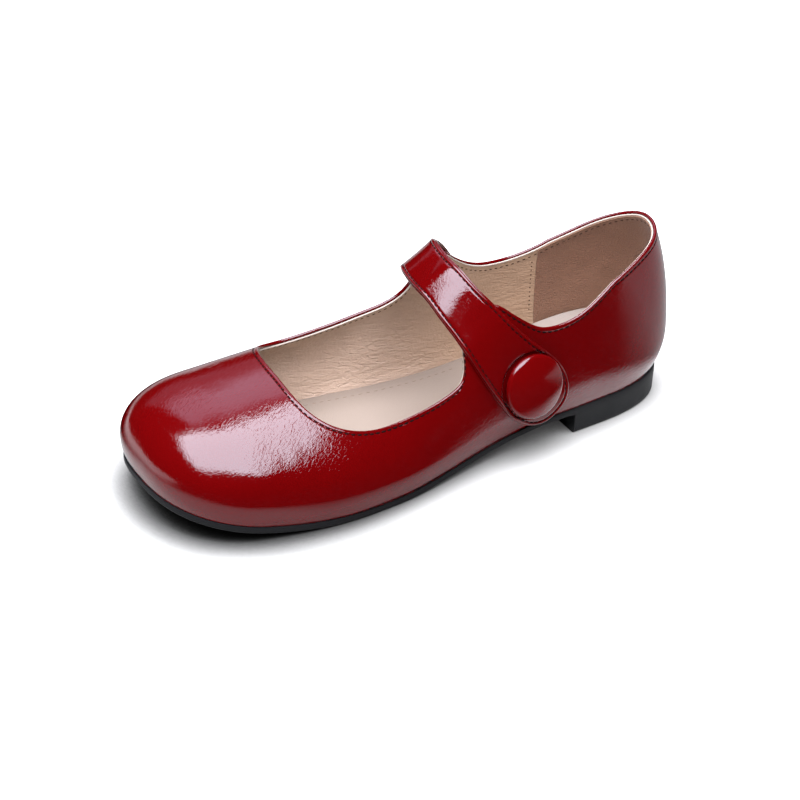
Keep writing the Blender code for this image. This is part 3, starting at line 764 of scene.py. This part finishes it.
def cushion(along, out):
    """How far the heel's cushion lifts the sock. out runs from 0 at the middle to 1 at either edge."""
    return smooth(CUSHION_FROM, CUSHION_FULL, along) * (CUSHION + CUSHION_SIDES * out**4)


stations = crowded_stations(PLATE_STATIONS)
plate_along = edge_loop(stations, np.ones(PLATE_STATIONS))[:, 0]
plate_tuck = section("tuck", plate_along) * FEATHER_TUCK
sock_leather = finish_material(
    "pale insole leather", (0.262, 0.216, 0.174), (0.236, 0.192, 0.153),
    dict(Crinkle_size=0.9 * MM, Crinkle=0.6, Pores=0.7, Swell=1.5), 0.07 * MM,
    Roughness=0.5, Sheen_Weight=0.1,
)
insole_edge = plate_tuck + WALL + GAP
insole_rim = insole_edge - plate_tuck * INSOLE_FLARE
insole_top = WALL + GAP + INSOLE
insole = plate_piece("insole_leather", stations, (
    (insole_rim + 0.5 * MM, lambda x: bed(x) + insole_top),
    (insole_rim + 0.1 * MM, lambda x: bed(x) + insole_top - 0.2 * MM),
    (insole_rim, lambda x: bed(x) + insole_top - 0.6 * MM),
    (insole_edge, lambda x: bed(x) + WALL + GAP),
), sock_leather, dish=cushion)
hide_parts("insole")
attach(insole, "root")

# The outsole: a thin moulded sole of black rubber, cemented under the lasted upper. Its side band
# stands a little proud of the leather, and its lower edge is rolled.
OUTSOLE_LEDGE = 0.5 * MM
OUTSOLE_ROLL = 1.1 * MM
HEEL_BREAST = 58 * MM
rubber = finish_material(
    "black rubber", (0.012, 0.0125, 0.0135), (0.008, 0.0085, 0.0095),
    dict(Crinkle_size=0.5 * MM, Crinkle=0.6, Pores=0.8, Swell=0.6), 0.05 * MM,
    Roughness=0.5, Specular_IOR_Level=0.15,
)


def underside(along):
    """The height of the sole's walking face over the ground."""
    return np.maximum(bed(along) - GAP - OUTSOLE, 0)


sole_edge = plate_tuck - OUTSOLE_LEDGE
roll = OUTSOLE_ROLL * smooth(HEEL_BREAST - 1 * MM, HEEL_BREAST + 4 * MM, plate_along)
outsole = plate_piece("outsole_rubber", stations, (
    (sole_edge + 1.6 * MM, lambda x: bed(x) - GAP + 0.1 * MM),
    (sole_edge + 0.35 * MM, lambda x: bed(x) - GAP + 0.05 * MM),
    (sole_edge + 0.1 * MM, lambda x: bed(x) - GAP - 0.1 * MM),
    (sole_edge, lambda x: bed(x) - GAP - 0.4 * MM),
    (sole_edge, lambda x: underside(x) + 1.1 * MM),
    (sole_edge + 0.14 * roll, lambda x: underside(x) + 0.75 * MM),
    (sole_edge + 0.45 * roll, lambda x: underside(x) + 0.3 * MM),
    (sole_edge + roll, underside),
), rubber)
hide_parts("outsole")
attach(outsole, "root")

# The heel: a low block of the same black rubber with a straight breast and a rounded back. It is
# a little smaller at the ground and is glued under the heel seat.
HEEL_TAPER = 0.9 * MM
HEEL_ROLL = 0.15
heel_stations = crowded_stations(PLATE_STATIONS // 2, 0.0, HEEL_BREAST / LENGTH)
heel_along = edge_loop(heel_stations, np.ones(len(heel_stations)))[:, 0]
heel_edge = section("tuck", heel_along) * FEATHER_TUCK - OUTSOLE_LEDGE
heel_rings = []
for part in (1.0, 0.85, 0.7, 0.5, 0.3, 0.15, 0.08, 0.03, 0.0):
    roll = HEEL_TAPER * (0.5 * (1 - part) + (1 - part / HEEL_ROLL) ** 2 * (part < HEEL_ROLL))
    heel_rings.append((heel_edge + roll, lambda x, part=part: underside(x) * part))
heel = plate_piece("heel_block", heel_stations, heel_rings, rubber)
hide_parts("heel")
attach(heel, "root")

# The strap: a band of the patent leather with folded edges, sewn onto a thin leather backing. It
# is sewn down on the inner side, runs over the instep to the outer side, and its wide round end
# carries the button.
STRAP = 2.2 * MM
STRAP_WIDTH = 19.6 * MM
STRAP_END_WIDTH = 31.2 * MM
STRAP_END_REACH = 21.8 * MM
STRAP_END_EXPONENT = 2.3
FLARE_FROM = -10 * MM
FLARE_TO = 56 * MM
STRAP_ARCH = 3 * MM
ARCH_FROM = 36 * MM
ARCH_UP = 0.55
ARCH_DOWN = 0.72
STRAP_CORNER = 4 * MM
STRAP_TRACE = 400
END_STEP = 0.5 * MM
HALVINGS = 30
# the strap's middle over the last: a share of LENGTH, and degrees from the outer to the inner side
STRAP_LINE = (
    (0.314, 0.5),
    (0.344, 8.7),
    (0.4035, 32.6),
    (0.429, 52.5),
    (0.441, 67.0),
    (0.444, 82.0),
    (0.438, 100.0),
    (0.422, 118.0),
    (0.398, 135.0),
    (0.378, 148.0),
    (0.366, 158.0),
)
BUTTON_AT = 1


def above_last(points, offset):
    """Points moved in their own cross section onto the last, then out from it by offset."""
    along = points[..., 0]
    axis = np.stack([along, centre_line(along) + section("lean", along) * INSTEP_LEAN * 0.5], -1)
    axis = np.concatenate([axis, (bed(along) + girth(along))[..., None]], -1)
    axis[..., 2] = np.minimum(axis[..., 2], points[..., 2])
    ray = points - axis
    low = np.zeros(points.shape[:-1])
    high = np.full(points.shape[:-1], 2.0)
    for _ in range(HALVINGS):
        mid = (low + high) / 2
        out = outside(axis + ray * mid[..., None]) > 0
        high = np.where(out, mid, high)
        low = np.where(out, low, mid)
    found = axis + ray * low[..., None]
    normal = last_normals(found)
    return found + normal * np.asarray(offset)[..., None], normal


strap_at, strap_lift = np.array(STRAP_LINE).T
knots = on_last(strap_at, strap_lift)
knot_reach = np.concatenate([[0], np.cumsum(np.linalg.norm(np.diff(knots, axis=0), axis=1))])
knot_reach -= knot_reach[BUTTON_AT]
strap_reach = np.linspace(knot_reach[0] - STRAP_END_REACH, knot_reach[-1], STRAP_TRACE)


def strap_middle(reach):
    """The strap's middle on the last at a reach from the button."""
    return np.stack([spline(knot_reach, knots[:, k], reach) for k in range(3)], -1)


# from the first knot to the round end the strap's middle runs straight on
strap_line = strap_middle(np.clip(strap_reach, knot_reach[0], None))
end_way = (strap_middle(knot_reach[0] + END_STEP) - strap_middle(knot_reach[0])) / END_STEP
strap_line += np.minimum(strap_reach - knot_reach[0], 0)[:, None] * end_way[None]
strap_way = unit(np.gradient(strap_line, axis=0))
strap_wide = unit(np.cross(above_last(strap_line, np.zeros(STRAP_TRACE))[1], strap_way))
strap_end = strap_reach[-1]


def strap_half(reach):
    """Half the strap's width: a round end about the button, a flare, and a blunt inner end."""
    flare = STRAP_END_WIDTH + (STRAP_WIDTH - STRAP_END_WIDTH) * smooth(FLARE_FROM, FLARE_TO, reach)
    inside = np.clip(-reach / STRAP_END_REACH, 0, 1)
    round_end = (1 - inside**STRAP_END_EXPONENT) ** (1 / STRAP_END_EXPONENT)
    into_end = np.clip((reach - (strap_end - STRAP_CORNER)) / STRAP_CORNER, 0, 1)
    return flare / 2 * round_end - STRAP_CORNER * (1 - np.sqrt(1 - into_end**2))


def strap_arch(reach):
    """How far the strap stands clear of the last between the two sides of the upper."""
    up = smooth(ARCH_FROM, strap_end * ARCH_UP, reach)
    return STRAP_ARCH * up * smooth(strap_end, strap_end * ARCH_DOWN, reach)


def along_strap(values, reach):
    """Values of the strap's middle line, read at a reach from the button."""
    return np.stack([np.interp(reach, strap_reach, values[:, k]) for k in range(3)], -1)


def strap_point(reach, across, high):
    """Points of the strap in the last's frame from length, width place and height over its underside."""
    place = along_strap(strap_line, reach) + along_strap(strap_wide, reach) * across[..., None]
    return above_last(place, GAP + strap_arch(reach) + high)


ROUND_STEPS = 61
BODY_STEPS = 190
BLUNT_STEPS = 16
round_part = -STRAP_END_REACH * np.cos(np.linspace(0, np.pi / 2, ROUND_STEPS)[:-1])
body_part = np.linspace(0, strap_end - STRAP_CORNER, BODY_STEPS)
blunt_part = strap_end - STRAP_CORNER + STRAP_CORNER * np.sin(np.linspace(0, np.pi / 2, BLUNT_STEPS)[1:])
strap_stations = np.concatenate([round_part, body_part, blunt_part])
strap_outline = np.stack([strap_stations, strap_half(strap_stations)], -1)
outline_way = unit(np.gradient(strap_outline, axis=0))
strap_in = np.stack([outline_way[:, 1], -outline_way[:, 0]], -1)
strap_in[0] = (1, 0)


def strap_ring(inset):
    """Both edges of the strap on its flat plan, moved in by inset."""
    front = strap_outline + strap_in * inset
    return front * np.array([1, -1]), front


STRAP_LANES = 28


def strap_layer(name, rings, level, material, worn):
    """A layer of the strap from rings of an inset and a height over level (mm), from the top's middle out."""
    wide = STRAP_LANES + 1
    t = np.linspace(0, 1, wide)[None, :, None]
    inner_t = t[0, 1:-1]

    def raised(flat, high):
        reach, across = flat[..., 0], flat[..., 1]
        return strap_point(reach, across, level + high * MM + worn(reach, across))[0]

    points = []
    faces = []
    for inset, high in (rings[0], rings[-1]):
        left, right = strap_ring(inset * MM)
        flat = left[:, None] * (1 - t) + right[:, None] * t
        faces += list(net_faces(len(strap_stations), wide, offset=len(points)))
        points += list(raised(flat, high).reshape(-1, 3))
    rims = []
    for inset, high in rings:
        left, right = strap_ring(inset * MM)
        far_end = left[-1] * (1 - inner_t) + right[-1] * inner_t
        near_end = right[0] * (1 - inner_t) + left[0] * inner_t
        rims.append(raised(np.concatenate([left, far_end, right[::-1], near_end]), high))
    faces += list(net_faces(len(rims), len(rims[0]), offset=len(points), close=True))
    points += list(np.concatenate(rims))
    return make_piece(name, np.array(points), faces, material)


STRAP_STITCH_IN = 2.05 * MM
# over the stitches' groove and the swelling beside it, round the fold and back under the edge (mm)
STRAP_RINGS = (
    (3.1, 0), (2.6, -0.02), (2.3, -0.16), (2.05, -0.26), (1.8, -0.14), (1.55, 0.02), (1.25, 0.06),
    (0.95, 0), (0.7, -0.14), (0.5, -0.38), (0.45, -0.65), (0.5, -0.95), (0.75, -1.2), (1.4, -1.35),
)
strap_patent = finish_material(
    "red strap leather", (0.110, 0.0006, 0.0010), (0.080, 0.0005, 0.0008),
    dict(Crinkle_size=1.0 * MM, Crinkle=0.55, Pores=0.0, Swell=2.0), 0.085 * MM,
    Coat_Roughness=0.06, **PATENT_SKIN,
)
TWIST = 0.04
TWIST_UP = (34 * MM, 44 * MM)
TWIST_DOWN = (62 * MM, 54 * MM)
CREST = 1.1 * MM
CREST_FROM = 41 * MM
CREST_CLIMB = 18 * MM
CREST_AT = 59 * MM
CREST_TO = 72 * MM
CROWN = 0.35 * MM
CROWN_WIDTH = 8 * MM
CROWN_UP = (30 * MM, 40 * MM)
CROWN_DOWN = (84 * MM, 72 * MM)
BUTTON_DISH = 0.85 * MM
DISH_FLAT = 13.9 * MM
DISH_EDGE = 15.3 * MM
# each crease's reach from the button, turn (degrees), half length, half width and depth (mm)
STRAP_CREASES = (
    (45.0, 24, 7.0, 1.3, 0.10),
    (54.0, -12, 6.0, 1.2, 0.07),
    (64.5, 30, 8.0, 1.4, 0.12),
    (90.0, -20, 7.0, 1.5, 0.08),
)


def worn_shape(reach, across):
    """The worn strap: raised and twisted before the instep, creased across, dished under the button."""
    twist = across * TWIST * smooth(*TWIST_UP, reach) * smooth(*TWIST_DOWN, reach)
    climb = np.clip((reach - CREST_FROM) / CREST_CLIMB, 0, 1) ** 2
    crest = CREST * np.where(reach < CREST_AT, climb, smooth(CREST_TO, CREST_AT, reach))
    crown = CROWN * (across / CROWN_WIDTH) ** 2 * smooth(*CROWN_UP, reach) * smooth(*CROWN_DOWN, reach)
    dish = BUTTON_DISH * (1 - smooth(DISH_FLAT, DISH_EDGE, np.hypot(reach, across)))
    creases = 0
    for at, turn_by, half, wide, deep in STRAP_CREASES:
        c, s = math.cos(math.radians(turn_by)), math.sin(math.radians(turn_by))
        u = (across * c + (reach - at * MM) * s) / (half * MM)
        v = ((reach - at * MM) * c - across * s) / (wide * MM)
        creases = creases + deep * MM * np.exp(-(u**2) - v**2)
    return twist + crest - crown - dish - creases


strap_leather = strap_layer("strap_leather", STRAP_RINGS, STRAP, strap_patent, worn_shape)
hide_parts("strap")
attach(strap_leather, "root")

# the backing's top, rounded edge and underside (mm)
BACKING_RINGS = ((0.9, 0.85), (0.3, 0.82), (0.08, 0.68), (0.0, 0.45), (0.08, 0.2), (0.4, 0.05), (1.2, 0.0))
BACKING_FOLLOWS = 0.6
BACKING_FROM = (18 * MM, 30 * MM)


def backing_shape(reach, across):
    """The backing follows the worn strap above it, but stays flat under the button."""
    return BACKING_FOLLOWS * worn_shape(reach, across) * smooth(*BACKING_FROM, reach)


strap_backing = strap_layer("strap_backing", BACKING_RINGS, 0, red_patent, backing_shape)
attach(strap_backing, "root")

# The button: a shallow metal dome covered with the same patent leather, which is drawn round its
# rim and clamped behind. It is fixed flat on the strap's round end.
BUTTON_RADIUS = 13.8 * MM
BUTTON_RIM = 2.6 * MM
BUTTON_DOME = 2.6 * MM
BUTTON_TILT = 5
BUTTON_SIDES = 128
BUTTON_BEARS_AT = 0.96
RIM_OVER_SEAT = 0.45
# the cover's profile in shares of the radius: under the button, round its rim (with a height in
# shares of BUTTON_RIM) and over the dome
SEAT_PARTS = (0.02, 0.35, 0.7, 0.88, 0.95)
RIM_PROFILE = ((0.99, -0.62), (1.0, -0.35), (1.0, -0.1), (0.994, 0.1), (0.978, 0.28), (0.955, 0.41))
DOME_PARTS = (0.925, 0.89, *np.linspace(0.84, 0.02, 16))
DOME_EDGE = 0.93
centre = along_strap(strap_line, 0)
button_across = along_strap(strap_wide, 0)
flat_normal = above_last(centre[None], np.zeros(1))[1][0]
upright = unit(np.array([0, 0, 1.0]) - flat_normal * flat_normal[2])
lean = math.radians(BUTTON_TILT)
button_normal = flat_normal * math.cos(lean) + upright * math.sin(lean)
button_across = unit(button_across - button_normal * (button_across @ button_normal))
button_up = np.cross(button_across, button_normal)
turns = np.linspace(0, 2 * np.pi, BUTTON_SIDES, endpoint=False)
circle = button_across * np.cos(turns)[:, None] + button_up * np.sin(turns)[:, None]
seat = GAP + STRAP
bearing = centre + circle * BUTTON_RADIUS * BUTTON_BEARS_AT
edge_ring = above_last(bearing, np.full(BUTTON_SIDES, seat + GAP))[0]
rim = centre + button_normal * (((edge_ring - centre) @ button_normal).max() + BUTTON_RIM * RIM_OVER_SEAT)
rows = []
button_seat = np.full(BUTTON_SIDES, seat + 0.05 * MM)
for part in SEAT_PARTS:
    rows.append(above_last(centre + circle * BUTTON_RADIUS * part, button_seat)[0])
for part, high in RIM_PROFILE:
    rows.append(rim + circle * BUTTON_RADIUS * part + button_normal * BUTTON_RIM * high)
for part in DOME_PARTS:
    high = 0.5 * BUTTON_RIM + BUTTON_DOME * (1 - (part / DOME_EDGE) ** 2)
    rows.append(rim + circle * BUTTON_RADIUS * part + button_normal * high)
button_leather = finish_material(
    "red button leather", (0.112, 0.0008, 0.0012), (0.095, 0.0006, 0.0009),
    dict(Crinkle_size=1.0 * MM, Crinkle=0.6, Pores=0.1, Swell=3.0), 0.06 * MM,
    Coat_Roughness=0.08, **PATENT_SKIN,
)
rows = np.array(rows)
tips = np.array([rows[0].mean(0), rows[-1].mean(0)])
faces = list(net_faces(len(rows), BUTTON_SIDES, close=True))
low = len(rows) * BUTTON_SIDES
for i in range(BUTTON_SIDES):
    n = (i + 1) % BUTTON_SIDES
    faces += [(low, n, i), (low + 1, low - BUTTON_SIDES + i, low - BUTTON_SIDES + n)]
points = np.concatenate([rows.reshape(-1, 3), tips])
button = make_piece("button_cover", points, faces, button_leather, sharp=180)
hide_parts("button")
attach(button, "root")

# The stitches: lockstitches of thick thread in even rows, pulled down into the leather. They are
# dark red along the topline and the strap and beige on the sock, and on the lining only the needle
# holes show.


def stitch_tree():
    """Stitches of a given pitch, length and width along a path whose points say which way is out."""
    tree = bpy.data.node_groups.new("stitch row", "GeometryNodeTree")
    socket(tree, "Path", "NodeSocketGeometry")
    socket(tree, "Pitch", "NodeSocketFloat", 2.5 * MM)
    socket(tree, "Length", "NodeSocketFloat", 1.9 * MM)
    socket(tree, "Width", "NodeSocketFloat", 0.5 * MM)
    socket(tree, "Height", "NodeSocketFloat", 0.4 * MM)
    socket(tree, "Thread", "NodeSocketMaterial")
    socket(tree, "Stitches", "NodeSocketGeometry", out=True)
    given = tree.nodes.new("NodeGroupInput").outputs
    result = tree.nodes.new("NodeGroupOutput").inputs
    curve = node(tree, "GeometryNodeMeshToCurve", _0=given["Path"]).outputs[0]
    points = node(
        tree, "GeometryNodeResampleCurve", {"mode": "LENGTH"}, Curve=curve, Length=given["Pitch"],
    ).outputs[0]
    way = node(tree, "GeometryNodeInputTangent").outputs[0]
    out = node(tree, "GeometryNodeInputNamedAttribute", {"data_type": "FLOAT_VECTOR"}, Name="out").outputs[0]
    first = node(tree, "FunctionNodeAlignRotationToVector", {"axis": "X"}, Vector=way).outputs[0]
    both = node(
        tree, "FunctionNodeAlignRotationToVector", {"axis": "Z", "pivot_axis": "X"},
        Rotation=first, Vector=out,
    ).outputs[0]
    bead = node(tree, "GeometryNodeMeshUVSphere", Segments=10, Rings=6, Radius=0.5).outputs[0]
    size = node(
        tree, "ShaderNodeCombineXYZ", _0=given["Length"], _1=given["Width"], _2=given["Height"],
    ).outputs[0]
    laid = node(
        tree, "GeometryNodeInstanceOnPoints", Points=points, Instance=bead, Rotation=both, Scale=size,
    ).outputs[0]
    real = node(tree, "GeometryNodeRealizeInstances", _0=laid).outputs[0]
    soft = node(tree, "GeometryNodeSetShadeSmooth", _0=real).outputs[0]
    final = node(tree, "GeometryNodeSetMaterial", Geometry=soft, Material=given["Thread"]).outputs[0]
    tree.links.new(final, result["Stitches"])
    return tree


stitch_rows_tree = stitch_tree()


def stitch_row(name, points, normals, thread, closed=False, **sizes):
    """A row of stitches as a plain mesh, made along the path through the points."""
    path = bpy.data.meshes.new(name)
    count = len(points)
    edges = [(i, (i + 1) % count) for i in range(count if closed else count - 1)]
    path.from_pydata(world(points).tolist(), edges, [])
    way = np.asarray(normals) * np.array([-1, 1, 1])
    out = path.attributes.new("out", "FLOAT_VECTOR", "POINT")
    out.data.foreach_set("vector", way.astype(np.float32).ravel())
    holder = bpy.data.objects.new(name + "_path", path)
    scene.collection.objects.link(holder)
    modifier = holder.modifiers.new("stitches", "NODES")
    modifier.node_group = stitch_rows_tree
    for item in stitch_rows_tree.interface.items_tree:
        if item.in_out == "INPUT" and item.name in sizes:
            modifier[item.identifier] = sizes[item.name]
        if item.name == "Thread":
            modifier[item.identifier] = thread
    ready = holder.evaluated_get(bpy.context.evaluated_depsgraph_get())
    mesh = bpy.data.meshes.new_from_object(ready)
    mesh.name = name
    bpy.data.objects.remove(holder)
    row = bpy.data.objects.new(name, mesh)
    scene.collection.objects.link(row)
    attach(row, "root")
    return row


THREAD_SHADE = 0.6
RAISED = 0.03 * MM
ON_LEATHER = 0.02 * MM


def thread_material(name, colour, roughness):
    """Twisted thread, with painted shade for the twist's grooves."""
    made = bpy.data.materials.new(name)
    made.use_nodes = True
    tree = made.node_tree
    principled = tree.nodes["Principled BSDF"]
    place = node(tree, "ShaderNodeTexCoord").outputs["Object"]
    twist = node(tree, "ShaderNodeTexNoise", Vector=place, Scale=2500.0, Detail=1.0)
    dark = tuple(c * THREAD_SHADE for c in colour)
    tree.links.new(colour_mix(tree, twist.outputs[0], dark, colour), principled.inputs["Base Color"])
    principled.inputs["Roughness"].default_value = roughness
    principled.inputs["Specular IOR Level"].default_value = 0.08
    return made


dark_thread = thread_material("dark red thread", (0.010, 0.0010, 0.0013), 0.7)
point, normal = wall_at(np.full((1, COLUMNS), STITCH_DOWN))
point = point[0] + normal[0] * (fold_offset(STITCH_DOWN) + RAISED)
stitch_row(
    "topline_stitches", point, normal[0], dark_thread, closed=True,
    Pitch=2.7 * MM, Length=2.1 * MM, Width=0.88 * MM, Height=0.46 * MM,
)
left, right = strap_ring(STRAP_STITCH_IN)
flat = np.concatenate([left[::-1], right[1:]])
STRAP_STITCH_HIGH = STRAP - 0.20 * MM
point, normal = strap_point(flat[:, 0], flat[:, 1], STRAP_STITCH_HIGH + worn_shape(flat[:, 0], flat[:, 1]))
stitch_row(
    "strap_stitches", point, normal, dark_thread,
    Pitch=2.6 * MM, Length=1.95 * MM, Width=0.62 * MM, Height=0.42 * MM,
)
pale_thread = thread_material("beige thread", (0.25, 0.185, 0.135), 0.6)
# the sock is sewn only in front of the heel's cushion
SOCK_STITCH_IN = 4.6 * MM
SOCK_STITCH_FROM = 88 * MM
outer, inner = plate_edges(stations, insole_edge + SOCK_STITCH_IN)
flat = np.concatenate([outer, inner[-2:0:-1]])
flat = flat[flat[:, 0] > SOCK_STITCH_FROM]
point = np.column_stack([flat, bed(flat[:, 0]) + insole_top + ON_LEATHER])
stitch_row(
    "insole_stitches", point, np.tile([0, 0, 1.0], (len(point), 1)), pale_thread,
    Pitch=3.4 * MM, Length=1.8 * MM, Height=0.2 * MM, Width=0.3 * MM,
)

# the heel lining's front seams: a row of needle holes down each wall, just in front of the piece
SEAM_AHEAD = 0.008
hole_thread = thread_material("shadowed needle holes", (0.09, 0.062, 0.042), 0.9)
for name, which in (("outer_seam_holes", side < 0), ("inner_seam_holes", side > 0)):
    seam = int(np.argmin(np.where(which, np.abs(foot - HEEL_LINING_FRONT - SEAM_AHEAD), 9)))
    rows = np.arange(len(EDGE_ROWS), len(skin) - 12)
    point = skin[rows, seam] - skin_normals[rows, seam] * (LINING_FRONT + ON_LEATHER)
    row = stitch_row(
        name, point, -skin_normals[rows, seam], hole_thread,
        Pitch=2.1 * MM, Length=0.75 * MM, Width=0.6 * MM, Height=0.16 * MM,
    )

# the topline's stitches come through on the lining, a little below its bare edge
THROUGH_DOWN = 3.3 * MM
point, normal = wall_at(np.full((1, COLUMNS), THROUGH_DOWN))
sunk = LINING_FRONT + ON_LEATHER + HEEL_LINING * (foot < HEEL_LINING_FRONT)
come_through = stitch_row(
    "lining_stitches", point[0] - normal[0] * sunk[:, None], -normal[0], hole_thread, closed=True,
    Pitch=2.7 * MM, Length=1.5 * MM, Width=0.55 * MM, Height=0.16 * MM,
)

# The stage: a sheet of white paper under the shoe, lit from above by a large soft box and by
# dimmer panels behind it. To the patent leather's mirror rays the paper is painted darker, as a painted
# reflection, except beside and behind the shoe, and a painted contact shadow darkens it close to the sole.
FLOOR_COLOUR = (0.60, 0.615, 0.575)
CONTACT_REACH = 22 * MM
floor_mesh = bpy.data.meshes.new("floor")
floor_mesh.from_pydata([(-9, -9, 0), (9, -9, 0), (9, 9, 0), (-9, 9, 0)], [], [(0, 1, 2, 3)])
floor = bpy.data.objects.new("floor", floor_mesh)
scene.collection.objects.link(floor)
paper = bpy.data.materials.new("white paper")
paper.use_nodes = True
tree = paper.node_tree


# sums with the places and shares on the paper
def times(first, second):
    return maths(tree, "MULTIPLY", first, second)


def plus(first, second):
    return maths(tree, "ADD", first, second)


def less(first, second):
    return maths(tree, "SUBTRACT", first, second)


# forward is how far a place on the paper lies towards the toe, aside how far to the outer side
place = object_place(tree)
forward = times(place[0], -1.0)
aside = times(place[1], -1.0)
past_end = maths(tree, "MAXIMUM", less(maths(tree, "ABSOLUTE", place[0]), 75 * MM), 0.0)
apart = maths(tree, "SQRT", plus(maths(tree, "POWER", past_end, 2.0), maths(tree, "POWER", place[1], 2.0)))
apart = less(apart, times(maths(tree, "MAXIMUM", less(forward, 60 * MM), 0.0), 0.35))
behind = plus(times(place[0], 0.766), times(place[1], 0.643))

# painted reflection: the paper is painted darker to mirror rays, except beside the shoe, behind it, and to
# the left of its toe
beside = times(less(1.0, soft_step(tree, apart, 46 * MM, 74 * MM)),
               plus(0.42, times(soft_step(tree, place[0], 0.0, 90 * MM), 0.58)))
bright = maths(tree, "MAXIMUM", beside, times(soft_step(tree, behind, 42 * MM, 120 * MM), 0.33))
left = times(soft_step(tree, forward, 132 * MM, 210 * MM), soft_step(tree, place[1], -30 * MM, 60 * MM))
bright = maths(tree, "MAXIMUM", bright, times(left, 0.75))
rays = node(tree, "ShaderNodeLightPath").outputs
dim = times(rays["Is Glossy Ray"], less(1.0, bright))

# painted contact shadow, deeper in front of the toe: the paper's colour is darkened by occlusion for the
# camera alone
open_sky = node(tree, "ShaderNodeAmbientOcclusion", {"samples": 8}, Distance=CONTACT_REACH).outputs["AO"]
front = times(soft_step(tree, forward, 0.0, 95 * MM), soft_step(tree, aside, -50 * MM, 10 * MM))
contact = maths(tree, "POWER", open_sky, plus(1.1, times(front, 2.3)))
shade = times(less(1.0, dim), maths(tree, "MAXIMUM", contact, less(1.0, rays["Is Camera Ray"])))
shaded = node(tree, "ShaderNodeVectorMath", {"operation": "SCALE"}, _0=FLOOR_COLOUR, Scale=shade).outputs[0]
principled = tree.nodes["Principled BSDF"]
tree.links.new(shaded, principled.inputs["Base Color"])

# painted light: the paper glows for the camera alone, more towards the heel, so that it shows white; the glow
# fades in the painted contact shadow
glow = plus(0.26, times(soft_step(tree, place[0], 20 * MM, 115 * MM), 0.42))
tree.links.new(times(times(glow, rays["Is Camera Ray"]), contact), principled.inputs["Emission Strength"])
principled.inputs["Emission Color"].default_value = (1.0, 0.99, 1.0, 1)
principled.inputs["Roughness"].default_value = 0.9
principled.inputs["Specular IOR Level"].default_value = 0.0
floor_mesh.materials.append(paper)

# the panels: the soft box makes the broad shine on the toe, the others the paler bands around it
PANEL_HEIGHT = 3.0
TOE_X = -70 * MM
TOE_Z = 45 * MM
COOL = (1.0, 0.92, 1.2)


def soft_panel(name, corners, radiance, colour):
    """A glowing panel over the toe that shines down. Its corners are shares of its height."""
    mesh = bpy.data.meshes.new(name)
    points = [(x * PANEL_HEIGHT + TOE_X, y * PANEL_HEIGHT, PANEL_HEIGHT + TOE_Z) for x, y in corners]
    mesh.from_pydata(points, [], [range(len(corners))])
    glow = bpy.data.materials.new(name)
    glow.use_nodes = True
    principled = glow.node_tree.nodes["Principled BSDF"]
    principled.inputs["Base Color"].default_value = (0, 0, 0, 1)
    principled.inputs["Emission Color"].default_value = (*colour, 1)
    principled.inputs["Emission Strength"].default_value = radiance
    mesh.materials.append(glow)
    panel = bpy.data.objects.new(name, mesh)
    scene.collection.objects.link(panel)
    panel.visible_camera = False


soft_box = ((-0.54, 0.84), (-1.02, -0.25), (0.24, -1.15), (0.37, 0.10), (0.40, 0.42), (0.08, 0.36))
soft_panel("soft box", soft_box, 10.4, (0.97, 0.955, 1.05))
soft_panel("second panel, edge", ((-0.20, 0.62), (-0.22, 0.76), (0.72, 0.60), (0.62, 0.40)), 0.6, COOL)
soft_panel("second panel", ((-0.22, 0.76), (-0.27, 1.35), (0.75, 1.60), (0.72, 0.60)), 1.40, COOL)
soft_panel("back panel", ((-0.30, 1.40), (-0.60, 3.2), (2.2, 3.2), (1.2, 1.4)), 0.22, COOL)

# the room is nearly dark, and shows white to the camera alone
DARK_ROOM = (0.006, 0.006, 0.006)
WHITE = (1, 1, 1)
world_light = bpy.data.worlds.new("studio")
world_light.use_nodes = True
tree = world_light.node_tree
seen = node(tree, "ShaderNodeLightPath").outputs["Is Camera Ray"]
backdrop = colour_mix(tree, seen, DARK_ROOM, WHITE)
tree.links.new(backdrop, tree.nodes["Background"].inputs["Color"])
scene.world = world_light
scene.view_settings.view_transform = "Standard"

# the camera looks down from in front of the toe on the outer side, a little rolled
AZIMUTH, ELEVATION, ROLL = (math.radians(a) for a in (-30.098, 31.095, 1.548))
CAMERA = Vector((-0.57635, -0.98647, 0.70817))
back = Vector((
    math.sin(AZIMUTH) * math.cos(ELEVATION), -math.cos(AZIMUTH) * math.cos(ELEVATION), math.sin(ELEVATION),
))
right = Vector((math.cos(AZIMUTH), math.sin(AZIMUTH), 0))
up = back.cross(right)
right_rolled = right * math.cos(ROLL) + up * math.sin(ROLL)
up_rolled = up * math.cos(ROLL) - right * math.sin(ROLL)
lens = bpy.data.cameras.new("camera")
lens.lens = 144.61
lens.sensor_width = 36
lens.clip_end = 50
camera = bpy.data.objects.new("camera", lens)
scene.collection.objects.link(camera)
turned = Matrix((right_rolled, up_rolled, back)).transposed().to_4x4()
camera.matrix_world = Matrix.Translation(CAMERA) @ turned
scene.camera = camera
